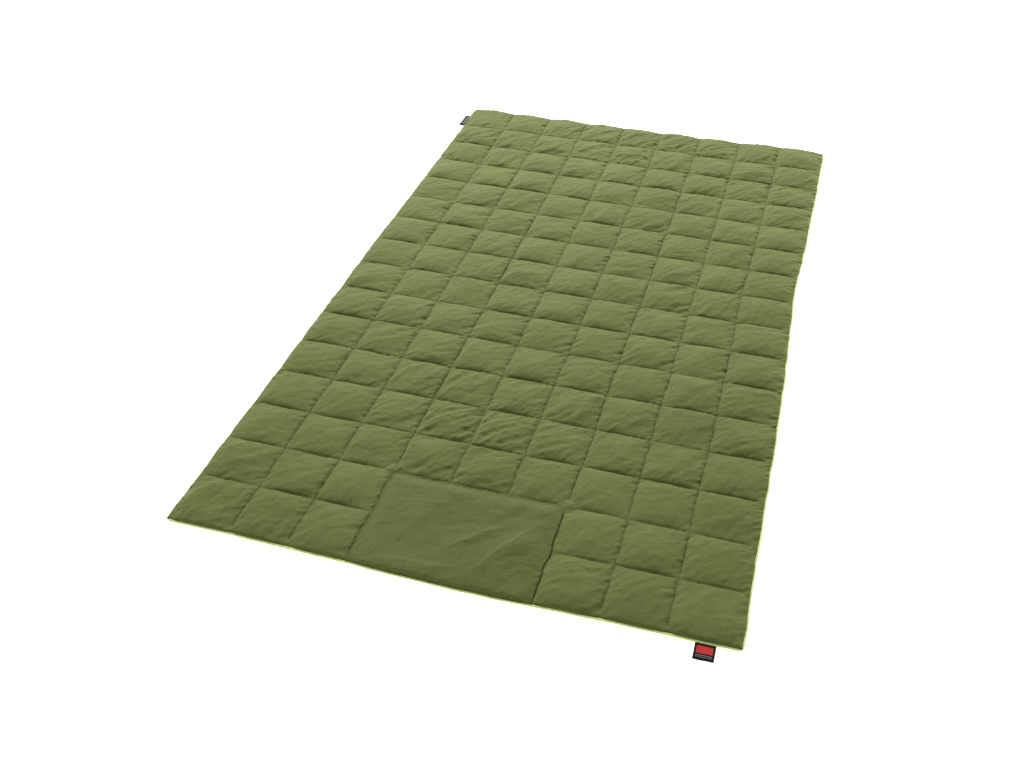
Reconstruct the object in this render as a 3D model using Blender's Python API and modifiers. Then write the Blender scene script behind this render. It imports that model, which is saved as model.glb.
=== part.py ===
"""Quilted camp blanket: two fabric covers with wadding between them, quilted in square cells,
piped all round, with a stow pocket on the near edge and two sewn-in labels.

Metres, +Z up. The origin is the middle of the underside. The pocket is on the near edge, at -Y.
The two outer strips of the quilt fold inwards over the middle along lengthwise seams.
"""

import math

import bmesh
import bpy
from mathutils import Vector

# Overall size and quilting
WIDTH = 1.200
LENGTH = 2.100
CELL = 0.130
COLUMNS = 9
ROWS = 16
FLAP_COLUMNS = 2

# Layers, from the floor up
GAP = 0.0003
WADDING_CLEARANCE = 0.00042
LINING_THICKNESS = 0.0012
COVER_THICKNESS = 0.0009
SEAM_HEIGHT = 0.0062
CROWN_HEIGHT = 0.0180
CROWN_INSET = 0.038
THREAD = 0.0008
THREAD_END_MARGIN = 0.018
FOLD_SEAM_OFFSET = 0.0006

# Piping round the edge
PIPING_RADIUS = 0.0025
PIPING_WALL = 0.0012
CORE_RADIUS = 0.0009
PIPING_HEIGHT = 0.0031
CORNER_RADIUS = 0.0095
CORNER_STEPS = 3

# Stow pocket
POCKET_COLUMNS = (3, 6)
POCKET_ROWS = 2
POCKET_WALL = 0.0012
POCKET_HEIGHT = 0.0152
POCKET_FLANGE = 0.004
POCKET_SLOPE = 0.012
POCKET_CORNER_RADIUS = 0.017
POCKET_CORNER_STEPS = 4
POCKET_SEAM_CLEARANCE = 0.0015
POCKET_MOUTH_SETBACK = 0.004
HEM_DEPTH = 0.008

# Folds
FOLD_HEIGHT = 0.0200

# Labels
LABEL_CLOTH = 0.0006
LABEL_THICKNESS = 0.0020
LABEL_CLEARANCE = 0.0006
LABEL_HINGE_LIFT = 0.0001
LABEL_FOLD_STEPS = 3
FRONT_LABEL_X = 0.530
FRONT_LABEL_WIDTH = 0.040
FRONT_LABEL_LENGTH = 0.037
SIDE_LABEL_Y = 0.960
SIDE_LABEL_WIDTH = 0.075
SIDE_LABEL_LENGTH = 0.018

# Edge of the quilted fabric, just inside the piping
FABRIC_INSET = 2 * PIPING_RADIUS + GAP
CORNER_PULL = (CORNER_RADIUS - PIPING_RADIUS) * (1 - math.sqrt(0.5)) + GAP

COLOURS = {
    "face_fabric": ((0.125, 0.165, 0.050), 0.90),
    "lining_fabric": ((0.155, 0.200, 0.070), 0.85),
    "wadding": ((0.85, 0.85, 0.82), 1.00),
    "thread": ((0.070, 0.095, 0.030), 0.70),
    "piping_fabric": ((0.480, 0.680, 0.190), 0.75),
    "piping_core": ((0.80, 0.79, 0.74), 0.90),
    "label_fabric": ((0.020, 0.020, 0.022), 0.80),
}


def seam_lines(count, full_size):
    """Places of the seams along one direction, from edge to edge, with the outer cells a little larger."""
    inner = (count - 2) * CELL
    lines = [-full_size / 2]
    lines += [-inner / 2 + i * CELL for i in range(count - 1)]
    lines.append(full_size / 2)
    return lines


COLUMN_SEAMS = seam_lines(COLUMNS, WIDTH)
ROW_SEAMS = seam_lines(ROWS, LENGTH)
FOLD_X = COLUMN_SEAMS[COLUMNS - FLAP_COLUMNS]
POCKET_SIDE_X = COLUMN_SEAMS[POCKET_COLUMNS[1]]
POCKET_TOP_Y = ROW_SEAMS[POCKET_ROWS]
MOUTH_Y = ROW_SEAMS[0] + FABRIC_INSET + POCKET_MOUTH_SETBACK


def clear_scene():
    for old in list(bpy.data.objects):
        bpy.data.objects.remove(old, do_unlink=True)


def material(slot, name):
    colour, roughness = COLOURS[slot]
    made = bpy.data.materials.new(name)
    made.use_nodes = True
    shader = made.node_tree.nodes["Principled BSDF"]
    shader.inputs["Base Color"].default_value = (*colour, 1.0)
    shader.inputs["Roughness"].default_value = roughness
    shader.inputs["Metallic"].default_value = 0.0
    return made


def add_object(name, data, slot, collection, axis=None):
    """Links a piece; one that moves is a child of the empty on its joint axis."""
    data.materials.append(material(slot, name))
    piece = bpy.data.objects.new(name, data)
    collection.objects.link(piece)
    if axis is not None:
        piece.parent = axis
        piece.matrix_parent_inverse = axis.matrix_world.inverted()
    return piece


def add_mesh(name, bm, slot, collection, axis=None):
    mesh = bpy.data.meshes.new(name)
    bm.to_mesh(mesh)
    bm.free()
    return add_object(name, mesh, slot, collection, axis)


def add_axis(name, place, collection, parent=None):
    axis = bpy.data.objects.new(name, None)
    collection.objects.link(axis)
    axis.empty_display_size = 0.05
    axis.location = place
    if parent is not None:
        axis.parent = parent
        axis.matrix_parent_inverse = parent.matrix_world.inverted()
    bpy.context.view_layer.update()
    return axis


def thicken(piece, thickness, offset=-1.0):
    wall = piece.modifiers.new("wall", "SOLIDIFY")
    wall.thickness = thickness
    wall.offset = offset
    wall.use_even_offset = True
    return piece


def line_grid(x_lines, y_lines, height):
    """A flat grid of quads whose lines lie at the given places."""
    bm = bmesh.new()
    columns = len(x_lines) - 1
    rows = len(y_lines) - 1
    bmesh.ops.create_grid(bm, x_segments=columns, y_segments=rows, size=1.0)
    for vert in bm.verts:
        column = round((vert.co.x + 1) / 2 * columns)
        row = round((vert.co.y + 1) / 2 * rows)
        vert.co = (x_lines[column], y_lines[row], height)
    return bm


def fabric_lines(first_column, last_column):
    """Seam places of one strip of the quilt, trimmed at the piping and at the fold gaps."""
    x_lines = COLUMN_SEAMS[first_column : last_column + 1]
    x_lines[0] += FABRIC_INSET if first_column == 0 else GAP / 2
    x_lines[-1] -= FABRIC_INSET if last_column == COLUMNS else GAP / 2
    y_lines = list(ROW_SEAMS)
    y_lines[0] += FABRIC_INSET
    y_lines[-1] -= FABRIC_INSET
    return x_lines, y_lines


def pull_corners(bm):
    """Moves the quilt's four outer corners inwards, clear of the piping's bends."""
    corner_x = WIDTH / 2 - FABRIC_INSET
    corner_y = LENGTH / 2 - FABRIC_INSET
    for vert in bm.verts:
        at_side = abs(abs(vert.co.x) - corner_x) < GAP / 2
        at_end = abs(abs(vert.co.y) - corner_y) < GAP / 2
        if at_side and at_end:
            vert.co.x -= math.copysign(CORNER_PULL, vert.co.x)
            vert.co.y -= math.copysign(CORNER_PULL, vert.co.y)


def in_pocket(centre):
    return abs(centre.x) < POCKET_SIDE_X and centre.y < POCKET_TOP_Y


def quilt_surface(first_column, last_column, drop=0.0):
    """The quilted top: each cell rises from its seams to a flat crown, except behind the pocket."""
    x_lines, y_lines = fabric_lines(first_column, last_column)
    bm = line_grid(x_lines, y_lines, SEAM_HEIGHT - drop)
    pull_corners(bm)
    padded = [face for face in bm.faces if not in_pocket(face.calc_center_median())]
    bmesh.ops.inset_individual(
        bm,
        faces=padded,
        thickness=CROWN_INSET,
        depth=CROWN_HEIGHT - SEAM_HEIGHT,
        use_even_offset=True,
    )
    return bm


def add_face_cover(side, span, collection, axis):
    cover = add_mesh(f"face_cover_{side}", quilt_surface(*span), "face_fabric", collection, axis)
    return thicken(cover, COVER_THICKNESS)


def add_wadding(side, span, collection, axis):
    """Wadding fills the space between the two covers: pillows on top, flat below."""
    bm = quilt_surface(*span, drop=COVER_THICKNESS + WADDING_CLEARANCE)
    border = [edge for edge in bm.edges if edge.is_boundary]
    walls = bmesh.ops.extrude_edge_only(bm, edges=border)["geom"]
    for vert in walls:
        if isinstance(vert, bmesh.types.BMVert):
            vert.co.z = LINING_THICKNESS + GAP
    lower = [edge for edge in bm.edges if edge.is_boundary]
    bmesh.ops.edgeloop_fill(bm, edges=lower)
    bmesh.ops.recalc_face_normals(bm, faces=bm.faces)
    return add_mesh(f"wadding_{side}", bm, "wadding", collection, axis)


def add_lining(side, span, collection, axis):
    x_lines, y_lines = fabric_lines(*span)
    bm = line_grid([x_lines[0], x_lines[-1]], [y_lines[0], y_lines[-1]], LINING_THICKNESS)
    pull_corners(bm)
    lining = add_mesh(f"lining_{side}", bm, "lining_fabric", collection, axis)
    return thicken(lining, LINING_THICKNESS)


def add_quilt_stitching(side, columns, rows, collection, axis):
    """One net of sewn lines: lengthwise column seams crossed by the row seams."""
    half = THREAD / 2
    bars = [(x - half, x + half, y_from, y_to) for x, y_from, y_to in columns]
    bars += [(x_from, x_to, y - half, y + half) for y, x_from, x_to in rows]
    x_lines = sorted({round(x, 6) for bar in bars for x in bar[:2]})
    y_lines = sorted({round(y, 6) for bar in bars for y in bar[2:]})
    bm = line_grid(x_lines, y_lines, SEAM_HEIGHT + GAP)
    empty = []
    for face in bm.faces:
        centre = face.calc_center_median()
        if not any(b[0] < centre.x < b[1] and b[2] < centre.y < b[3] for b in bars):
            empty.append(face)
    bmesh.ops.delete(bm, geom=empty, context="FACES")
    net = add_mesh(f"quilt_stitching_{side}", bm, "thread", collection, axis)
    return thicken(net, THREAD, offset=1.0)


def flap_stitching_lines(sign):
    """Columns and rows of the seams on an outer strip; its inner column seam runs beside the fold."""
    fold_seam = sign * (FOLD_X + FOLD_SEAM_OFFSET)
    reach = LENGTH / 2 - THREAD_END_MARGIN
    columns = [(x, -reach, reach) for x in (fold_seam, sign * COLUMN_SEAMS[COLUMNS - 1])]
    ends = sorted([fold_seam - sign * THREAD / 2, sign * (WIDTH / 2 - THREAD_END_MARGIN)])
    return columns, [(y, ends[0], ends[1]) for y in ROW_SEAMS[1:-1]]


def middle_stitching_lines():
    """Columns and rows of the seams on the middle strip; they stop at the pocket's edges."""
    far_end = LENGTH / 2 - THREAD_END_MARGIN
    columns = []
    for x in COLUMN_SEAMS[FLAP_COLUMNS + 1 : COLUMNS - FLAP_COLUMNS]:
        behind_pocket = abs(x) < POCKET_SIDE_X - GAP
        columns.append((x, POCKET_TOP_Y - THREAD / 2 if behind_pocket else -far_end, far_end))
    reach = FOLD_X - FOLD_SEAM_OFFSET
    pocket_end = POCKET_SIDE_X - THREAD / 2
    rows = []
    for y in ROW_SEAMS[1:-1]:
        if y < POCKET_TOP_Y - GAP:
            rows += [(y, -reach, -pocket_end), (y, pocket_end, reach)]
        else:
            rows.append((y, -reach, reach))
    return columns, rows


def arc(centre, radius, start_degrees, end_degrees, steps):
    points = []
    for step in range(steps + 1):
        angle = math.radians(start_degrees + (end_degrees - start_degrees) * step / steps)
        points.append((centre[0] + radius * math.cos(angle), centre[1] + radius * math.sin(angle)))
    return points


def polyline(bm, points):
    verts = [bm.verts.new(point) for point in points]
    return [bm.edges.new(pair) for pair in zip(verts, verts[1:])]


def pocket_outline(inset):
    """The sewn edge of the pocket, from one end of its mouth round to the other, moved inwards by inset."""
    half_width = POCKET_SIDE_X - POCKET_SEAM_CLEARANCE
    top = POCKET_TOP_Y - POCKET_SEAM_CLEARANCE
    centre_x = half_width - POCKET_CORNER_RADIUS
    centre_y = top - POCKET_CORNER_RADIUS
    radius = POCKET_CORNER_RADIUS - inset
    points = [(inset - half_width, MOUTH_Y)]
    points += arc((-centre_x, centre_y), radius, 180, 90, POCKET_CORNER_STEPS)
    points += arc((centre_x, centre_y), radius, 90, 0, POCKET_CORNER_STEPS)
    points.append((half_width - inset, MOUTH_Y))
    return points


def face_up(bm):
    """Turns an open surface so that its faces point upwards."""
    bmesh.ops.recalc_face_normals(bm, faces=bm.faces)
    if sum(face.normal.z * face.calc_area() for face in bm.faces) < 0:
        bmesh.ops.reverse_faces(bm, faces=bm.faces)


def add_pocket_panel(collection):
    """A patch sewn down on three sides by its flange and open towards the near edge."""
    flange_top = SEAM_HEIGHT + GAP + POCKET_WALL
    levels = [
        (0.0, flange_top),
        (POCKET_FLANGE, flange_top),
        (POCKET_FLANGE + POCKET_SLOPE, POCKET_HEIGHT),
    ]
    bm = bmesh.new()
    rings = [
        polyline(bm, [(x, y, height) for x, y in pocket_outline(inset)])
        for inset, height in levels
    ]
    for lower, upper in zip(rings, rings[1:]):
        bmesh.ops.bridge_loops(bm, edges=lower + upper)
    mouth_ends = [rings[-1][0].verts[0], rings[-1][-1].verts[1]]
    mouth = bm.edges.new(mouth_ends)
    bmesh.ops.edgeloop_fill(bm, edges=rings[-1] + [mouth])
    face_up(bm)
    return thicken(add_mesh("pocket_panel", bm, "face_fabric", collection), POCKET_WALL)


def add_pocket_seam_stitching(collection):
    bm = bmesh.new()
    height = SEAM_HEIGHT + GAP + POCKET_WALL + GAP
    middle = POCKET_FLANGE / 2
    sides = [
        polyline(bm, [(x, y, height) for x, y in pocket_outline(inset)])
        for inset in (middle - THREAD / 2, middle + THREAD / 2)
    ]
    bmesh.ops.bridge_loops(bm, edges=sides[0] + sides[1])
    face_up(bm)
    seam = add_mesh("pocket_seam_stitching", bm, "thread", collection)
    return thicken(seam, THREAD, offset=1.0)


def add_pocket_hem_stitching(collection):
    reach = POCKET_SIDE_X - POCKET_SEAM_CLEARANCE - POCKET_FLANGE - POCKET_SLOPE - THREAD
    y = MOUTH_Y + HEM_DEPTH
    bm = line_grid([-reach, reach], [y - THREAD / 2, y + THREAD / 2], POCKET_HEIGHT + GAP)
    hem = add_mesh("pocket_hem_stitching", bm, "thread", collection)
    return thicken(hem, THREAD, offset=1.0)


def flap_piping_path(sign):
    """Centreline round an outer strip, from the near fold line to the far one."""
    side_x = WIDTH / 2 - PIPING_RADIUS
    end_y = LENGTH / 2 - PIPING_RADIUS
    centre_x = side_x - CORNER_RADIUS
    centre_y = end_y - CORNER_RADIUS
    points = [(FOLD_X + GAP / 2, -end_y)]
    points += arc((centre_x, -centre_y), CORNER_RADIUS, -90, 0, CORNER_STEPS)
    points += arc((centre_x, centre_y), CORNER_RADIUS, 0, 90, CORNER_STEPS)
    points.append((FOLD_X + GAP / 2, end_y))
    return [(sign * x, y, PIPING_HEIGHT) for x, y in points]


def middle_piping_path(sign):
    reach = FOLD_X - GAP / 2
    y = sign * (LENGTH / 2 - PIPING_RADIUS)
    return [(-reach, y, PIPING_HEIGHT), (reach, y, PIPING_HEIGHT)]


def cord_curve(name, path, radius, bevel_resolution, capped):
    curve = bpy.data.curves.new(name, "CURVE")
    curve.dimensions = "3D"
    curve.bevel_depth = radius
    curve.bevel_resolution = bevel_resolution
    curve.use_fill_caps = capped
    spline = curve.splines.new("POLY")
    spline.points.add(len(path) - 1)
    for point, place in zip(spline.points, path):
        point.co = (*place, 1.0)
    return curve


def add_piping(side, path, collection, axis):
    """A fabric tube with a thin cord running through it."""
    sleeve_name = f"piping_{side}"
    sleeve = cord_curve(sleeve_name, path, PIPING_RADIUS, 3, False)
    thicken(add_object(sleeve_name, sleeve, "piping_fabric", collection, axis), PIPING_WALL)
    core_name = f"piping_core_{side}"
    core = cord_curve(core_name, path, CORE_RADIUS, 1, True)
    add_object(core_name, core, "piping_core", collection, axis)


def add_label(name, root, outwards, width, length, collection, axis):
    """A strip of webbing folded double: its two ends are sewn in and its fold is the free end."""
    low = LABEL_CLOTH / 2
    radius = (LABEL_THICKNESS - LABEL_CLOTH) / 2
    tip = length - radius - LABEL_CLOTH / 2
    profile = [(0.0, low)]
    profile += arc((tip, low + radius), radius, -90, 90, LABEL_FOLD_STEPS)
    profile.append((0.0, low + 2 * radius))
    across = Vector((0.0, 0.0, 1.0)).cross(outwards)
    start = Vector(root) - across * width / 2
    bm = bmesh.new()
    edges = polyline(bm, [start + outwards * out + Vector((0, 0, up)) for out, up in profile])
    added = bmesh.ops.extrude_edge_only(bm, edges=edges)["geom"]
    moved = [item for item in added if isinstance(item, bmesh.types.BMVert)]
    bmesh.ops.translate(bm, vec=across * width, verts=moved)
    bmesh.ops.recalc_face_normals(bm, faces=bm.faces)
    return thicken(add_mesh(name, bm, "label_fabric", collection, axis), LABEL_CLOTH, offset=0.0)


def add_strip(side, span, stitching, collection, axis=None):
    """One of the three lengthwise strips that the quilt folds into."""
    add_lining(side, span, collection, axis)
    add_wadding(side, span, collection, axis)
    add_face_cover(side, span, collection, axis)
    add_quilt_stitching(side, *stitching, collection, axis)


def main():
    clear_scene()
    blanket = bpy.data.collections.new("camp_blanket")
    bpy.context.scene.collection.children.link(blanket)

    first_fold = FLAP_COLUMNS
    last_fold = COLUMNS - FLAP_COLUMNS
    add_strip("middle", (first_fold, last_fold), middle_stitching_lines(), blanket)
    add_piping("near", middle_piping_path(-1), blanket, None)
    add_piping("far", middle_piping_path(1), blanket, None)
    add_pocket_panel(blanket)
    add_pocket_seam_stitching(blanket)
    add_pocket_hem_stitching(blanket)

    left_axis = add_axis("left_fold_axis", (-FOLD_X, 0.0, FOLD_HEIGHT), blanket)
    add_strip("left", (0, first_fold), flap_stitching_lines(-1), blanket, left_axis)
    add_piping("left", flap_piping_path(-1), blanket, left_axis)

    right_axis = add_axis("right_fold_axis", (FOLD_X, 0.0, FOLD_HEIGHT), blanket)
    add_strip("right", (last_fold, COLUMNS), flap_stitching_lines(1), blanket, right_axis)
    add_piping("right", flap_piping_path(1), blanket, right_axis)

    hinge_height = LABEL_THICKNESS + LABEL_HINGE_LIFT
    label_y = -LENGTH / 2 - LABEL_CLEARANCE
    label_x = -WIDTH / 2 - LABEL_CLEARANCE
    front_hinge = (FRONT_LABEL_X, label_y, hinge_height)
    front_axis = add_axis("front_label_axis", front_hinge, blanket, right_axis)
    add_label(
        "front_label",
        (FRONT_LABEL_X, label_y, 0.0),
        Vector((0.0, -1.0, 0.0)),
        FRONT_LABEL_WIDTH,
        FRONT_LABEL_LENGTH,
        blanket,
        front_axis,
    )
    side_hinge = (label_x, SIDE_LABEL_Y, hinge_height)
    side_axis = add_axis("side_label_axis", side_hinge, blanket, left_axis)
    add_label(
        "side_label",
        (label_x, SIDE_LABEL_Y, 0.0),
        Vector((-1.0, 0.0, 0.0)),
        SIDE_LABEL_WIDTH,
        SIDE_LABEL_LENGTH,
        blanket,
        side_axis,
    )
    bpy.context.view_layer.update()


main()
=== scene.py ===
"""Looks of the quilted camp blanket: simulated quilt cloth, wadding, lining, piping, stow pocket,
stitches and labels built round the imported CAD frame, with materials, light and camera.

Metres, +Z up, in the frame of the CAD model. Each piece is made in flat coordinates, as the cloth
was cut and sewn, and settle() then shifts it the way the blanket lies once it is spread by hand.
"""

import math

import bpy
import numpy as np
from mathutils import Matrix, Vector


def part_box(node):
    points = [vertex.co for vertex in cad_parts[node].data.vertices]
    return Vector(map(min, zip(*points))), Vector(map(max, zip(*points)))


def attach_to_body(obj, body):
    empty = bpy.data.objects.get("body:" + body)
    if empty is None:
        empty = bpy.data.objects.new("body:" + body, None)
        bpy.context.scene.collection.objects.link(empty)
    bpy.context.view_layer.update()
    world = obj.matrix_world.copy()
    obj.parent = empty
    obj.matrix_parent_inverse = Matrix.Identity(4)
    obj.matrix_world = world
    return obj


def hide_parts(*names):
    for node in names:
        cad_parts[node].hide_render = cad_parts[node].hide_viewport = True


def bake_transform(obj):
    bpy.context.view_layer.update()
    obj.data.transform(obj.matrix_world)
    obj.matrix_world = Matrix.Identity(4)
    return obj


# Quilting, as in the CAD model. A span is the columns of cells in each strip between the folds
CELL = 0.130
COLUMNS = 9
ROWS = 16
SPANS = {"left": (0, 3), "middle": (3, 6), "right": (6, 9)}
POCKET_ROWS = 2

# Grid: its step, and how much closer its lines stand beside a seam. The simulation, the lining
# and the wadding use every second line
STEP = CELL / 44
CROWDING = 0.12
EVERY = 2

# Face cover
TUCK = 0.0022
FACE_SEAM_Z = 0.0076
FACE_EDGE_Z = 0.0050
FACE_RISE = 0.0115
PILLOW_POWER = 2.1
PILLOW_ROOT = 0.60
SIDE_PILLOW_ROOT = 0.54
END_PILLOW_ROOT = 0.42
CREASE_DEPTH = 0.0010
CREASE_WIDTH = 0.0022
POCKET_RISE = 0.0015
EDGE_SLOPE = 0.030
SEAM_END = 0.018
SEAM_END_RISE = 0.0030
SEAM_END_WIDTH = 0.006
FACE_TOP = 0.0235
LEFT_ROLL_REACH = 0.014
LEFT_ROLL_OUT = 0.0026
LEFT_EDGE_Z = 0.0026
LEFT_LINING_IN = 0.0030

# Relief of the face cover: heights of its lumps, folds and gathers
PILLOW_LEAN = 0.9
UNEVEN_FULLNESS = 0.13
NEAR_LESS_FULL = 0.14
FAR_MORE_FULL = 0.09
LUMPS = 0.0016
BROAD_FOLDS = 0.0023
MEDIUM_FOLDS = 0.0014
SMALL_FOLDS = 0.0007
GATHERS_LEFT_OF_SEAM = 0.0031
GATHERS_RIGHT_OF_SEAM = 0.0021
COLUMN_GATHER_LEAN = 0.8
ROW_GATHERS = 0.0012
ROW_GATHER_LEAN = 0.4
EDGE_GATHERS = 0.0026
EDGE_GATHER_LEAN = 0.7
FOLD_STRETCH = 0.24
GATHER_STRETCH = 0.25

# Places rumpled more than the rest, or less: x, y, width, how much
RUMPLES = [
    (0.00, 0.90, 0.09, 1.2),
    (-0.27, 0.92, 0.08, 1.0),
    (-0.50, 0.95, 0.08, 0.8),
    (0.33, 0.93, 0.10, 0.8),
    (-0.15, -0.60, 0.12, 0.7),
    (0.05, -0.50, 0.10, 0.5),
    (0.20, 0.40, 0.12, 0.5),
    (0.42, -0.85, 0.20, -0.5),
]

# Lining
LINING_SEAM_Z = 0.0036
LINING_EDGE_Z = 0.0024
LINING_DROP = 0.0034
LINING_FLOOR = 0.0003

# Wadding: how far it keeps from the covers, and how much further where it bends
WADDING_UNDER_FACE = 0.0008
WADDING_OVER_LINING = 0.0006
WADDING_UNDER_FACE_AT_FOLD = 0.0016
WADDING_OVER_LINING_AT_FOLD = 0.0006
WADDING_THINNEST = 0.0004
WADDING_INSET = 0.003

# Piping
PIPING_RADIUS = 0.0025
CORE_RADIUS = 0.0009
PIPING_Z = 0.0031
CORNER_RADIUS = 0.0095
LEFT_PIPING_INSET = 0.0020
PIPING_STEP = 0.004
PIPING_SIDES = 12
CORE_SIDES = 6

# Stitches of sewing thread
STITCH_PITCH = 0.0040
STITCH_LENGTH = 0.0031
STITCH_RADIUS = 0.00034
STITCH_LIFT = 0.0001

# Painted shade in the pinch of a seam, and the relief of the gathers beside it and of the weave
SHADE_WIDTH = 0.0018
COLUMN_SHADE = 0.798
ROW_SHADE = 0.12
LINING_SHADE_WIDTH = 0.0022
LINING_SHADE = 0.32
POCKET_SHADE_WIDTH = 0.0022
POCKET_SHADE = 0.32
PUCKER_SIZE = 0.010
PUCKER_REACH = 0.009
WEAVE_DEPTH = 0.00006

# Pocket
POCKET_STEP = 0.0032
POCKET_CORNER = 0.017
POCKET_FLANGE_Z = 0.0088
POCKET_MOUTH_Z = 0.0064
POCKET_CROWN = 0.0050
POCKET_SLOPE = 0.034
POCKET_TILT = 0.0030
POCKET_CORNER_BUMP = 0.0058
POCKET_CORNER_BUMP_SIZE = 0.0110
POCKET_CORNER_BUMP_SHIFT = 0.008
POCKET_MOUTH_REACH = 0.0066
POCKET_MOUTH_DROP = 0.0028
POCKET_MOUTH_ROLL = 0.007
POCKET_CLOTH = 0.0008
POCKET_LUMPS = 0.0012
POCKET_FOLDS = 0.0020
POCKET_SMALL_FOLDS = 0.0010
POCKET_GATHERS = 0.0022
POCKET_SEAM_WIDTH = 0.0045
HEM_DEPTH = 0.008

# Pressed folds of the pocket's cloth: both ends and the height
POCKET_CREASES = [
    (0.030, -1.038, 0.170, -0.835, 0.0040),
    (-0.040, -0.990, 0.110, -0.860, 0.0028),
    (-0.150, -1.025, 0.050, -1.005, 0.0026),
    (0.175, -0.890, 0.070, -0.965, 0.0022),
    (-0.160, -0.860, -0.020, -0.845, 0.0014),
]

# Labels: a folded strip lying on the ground, sewn in under the piping
LABEL_CLOTH = 0.0005
LABEL_GAP = 0.0014
LABEL_GROUND = 0.0004
LABEL_SEWN_IN = 0.004
LABEL_STEP = 0.0011
LABEL_COLUMN = 0.002
LABEL_CURL = 0.0016
LABEL_RIPPLE = 0.0003

# How the blanket lies once spread by hand: how far it is shifted from its flat pattern
RIGHT_DRAWN_IN = 0.0125
RIGHT_DRAWN_IN_ALL = 0.0022
LEFT_DRAWN_IN = 0.0020
NEAR_BULGE = 0.0100
FAR_BULGE = 0.0090
MIDDLE_SHIFT = 0.0014
FAR_SCALLOP = 0.0022
NEAR_SCALLOP = 0.0006
LEFT_SCALLOP = 0.0006
RIGHT_SCALLOP = 0.0002
SCALLOP_REACH = 0.03
SLOW_WOBBLE = 0.0017
SLOW_WOBBLE_SIZE = 0.16
SEAM_WOBBLE_X = 0.0021
SEAM_WOBBLE_Y = 0.0015
SEAM_WOBBLE_SIZE = 0.036
POCKET_WOBBLE_X = 0.0020
POCKET_WOBBLE_Y = 0.0028
EDGE_WOBBLE = 0.0009
EDGE_WOBBLE_SIZE = 0.045
EDGE_REACH = 0.012

# Folds: the blanket bends between these distances from the middle line
FOLD_FROM = 0.300
FOLD_TO = 0.350

# Cloth simulation
FRAMES = 30
CLOTH_STIFFNESS = 15
FACE_HOLD = 0.006
FACE_BENDING = 0.02
FACE_EXCESS = 0.02
SLANT_EXCESS = 0.030
FACE_RIPPLE = 0.003
RIPPLE_SIZE = 0.055
LINING_HOLD = 0.05
LINING_EXCESS = 0.02
LINING_SLANT_EXCESS = 0.03
LINING_RIPPLE = 0.004
LINING_RIPPLE_SIZE = 0.08
POCKET_BENDING = 0.10
POCKET_EXCESS_X = 0.014
POCKET_EXCESS_Y = 0.016
POCKET_RIPPLE = 0.0050
POCKET_RIPPLE_SIZE = 0.11
FACE_MOVES_AT_MOST = 0.008
LINING_MOVES_AT_MOST = 0.004
POCKET_MOVES_AT_MOST = 0.006
CLOTH_SETTINGS = {
    "bending_model": "ANGULAR",
    "pin_stiffness": 1.0,
    "quality": 5,
    "mass": 0.3,
    "air_damping": 1.0,
    "tension_damping": 5,
    "compression_damping": 5,
    "shear_damping": 5,
    "bending_damping": 0.5,
}

# Tiles after which the noise repeats, far beyond the blanket's edge
NOISE_TILES = 64

# Camera, from the perspective of the quilt's rectangle
CAMERA_PLACE = (0.55168, -2.40841, 1.65233)
CAMERA_AZIMUTH = -16.351
CAMERA_ELEVATION = 38.309
CAMERA_ROLL = 0.189
CAMERA_LENS = 38.803
SENSOR_WIDTH = 36.0

# Studio: an even sky that is brighter near the horizon
FLOOR_HALF = 60.0
SKY_LIGHT = 0.28
HORIZON_LIGHT = 1.0
HORIZON_BAND = (0.20, 0.36)
FLOOR_WHITE = 0.97
LIGHTS = [
    ("key", (-2.5, 5.6, 4.5), 2.6, 900),
    ("overhead", (0.3, -0.6, 5.0), 4.0, 60),
]


def smooth(t):
    """0 below 0, 1 above 1, and an even S-curve in between."""
    t = np.clip(t, 0.0, 1.0)
    return t * t * (3 - 2 * t)


def hump(t, centre, width):
    """A bell, 1 high at its centre."""
    return np.exp(-0.5 * ((t - centre) / width) ** 2)


def noise_field(x, y, size, seed):
    """Gradient noise, from about -1 to 1, whose features are about the given size across."""
    rng = np.random.default_rng(seed)
    angles = rng.uniform(0, 2 * np.pi, (NOISE_TILES, NOISE_TILES))
    turn = rng.uniform(0, 2 * np.pi)
    across = (x * math.cos(turn) - y * math.sin(turn)) / size + NOISE_TILES / 2
    along = (x * math.sin(turn) + y * math.cos(turn)) / size + NOISE_TILES / 2
    column = np.floor(across).astype(int)
    row = np.floor(along).astype(int)
    across = across - column
    along = along - row
    total = np.zeros(np.shape(x))
    for i in (0, 1):
        for j in (0, 1):
            angle = angles[(row + j) % NOISE_TILES, (column + i) % NOISE_TILES]
            slope = np.cos(angle) * (across - i) + np.sin(angle) * (along - j)
            total += smooth(1 - np.abs(across - i)) * smooth(1 - np.abs(along - j)) * slope
    return 1.6 * total


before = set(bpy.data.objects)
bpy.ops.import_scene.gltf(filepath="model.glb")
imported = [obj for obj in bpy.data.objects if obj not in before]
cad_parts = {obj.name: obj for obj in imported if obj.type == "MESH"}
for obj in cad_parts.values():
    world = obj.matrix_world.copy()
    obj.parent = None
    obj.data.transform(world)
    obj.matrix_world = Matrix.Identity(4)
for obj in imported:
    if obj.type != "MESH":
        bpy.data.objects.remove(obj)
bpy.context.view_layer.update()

right_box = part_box("face_cover_right")
EDGE_X = right_box[1].x + TUCK
EDGE_Y = right_box[1].y + TUCK
HALF_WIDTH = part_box("piping_right")[1].x
HALF_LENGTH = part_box("piping_far")[1].y
POCKET_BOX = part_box("pocket_panel")


def seam_places(count, edge):
    """Places of the seams across the quilt: even cells, of which the outermost reach the edge."""
    inner = (count - 2) * CELL
    return [-edge] + [-inner / 2 + i * CELL for i in range(count - 1)] + [edge]


COLUMN_SEAMS = seam_places(COLUMNS, EDGE_X)
ROW_SEAMS = seam_places(ROWS, EDGE_Y)
POCKET_X = COLUMN_SEAMS[6]
POCKET_Y = ROW_SEAMS[POCKET_ROWS]


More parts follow.
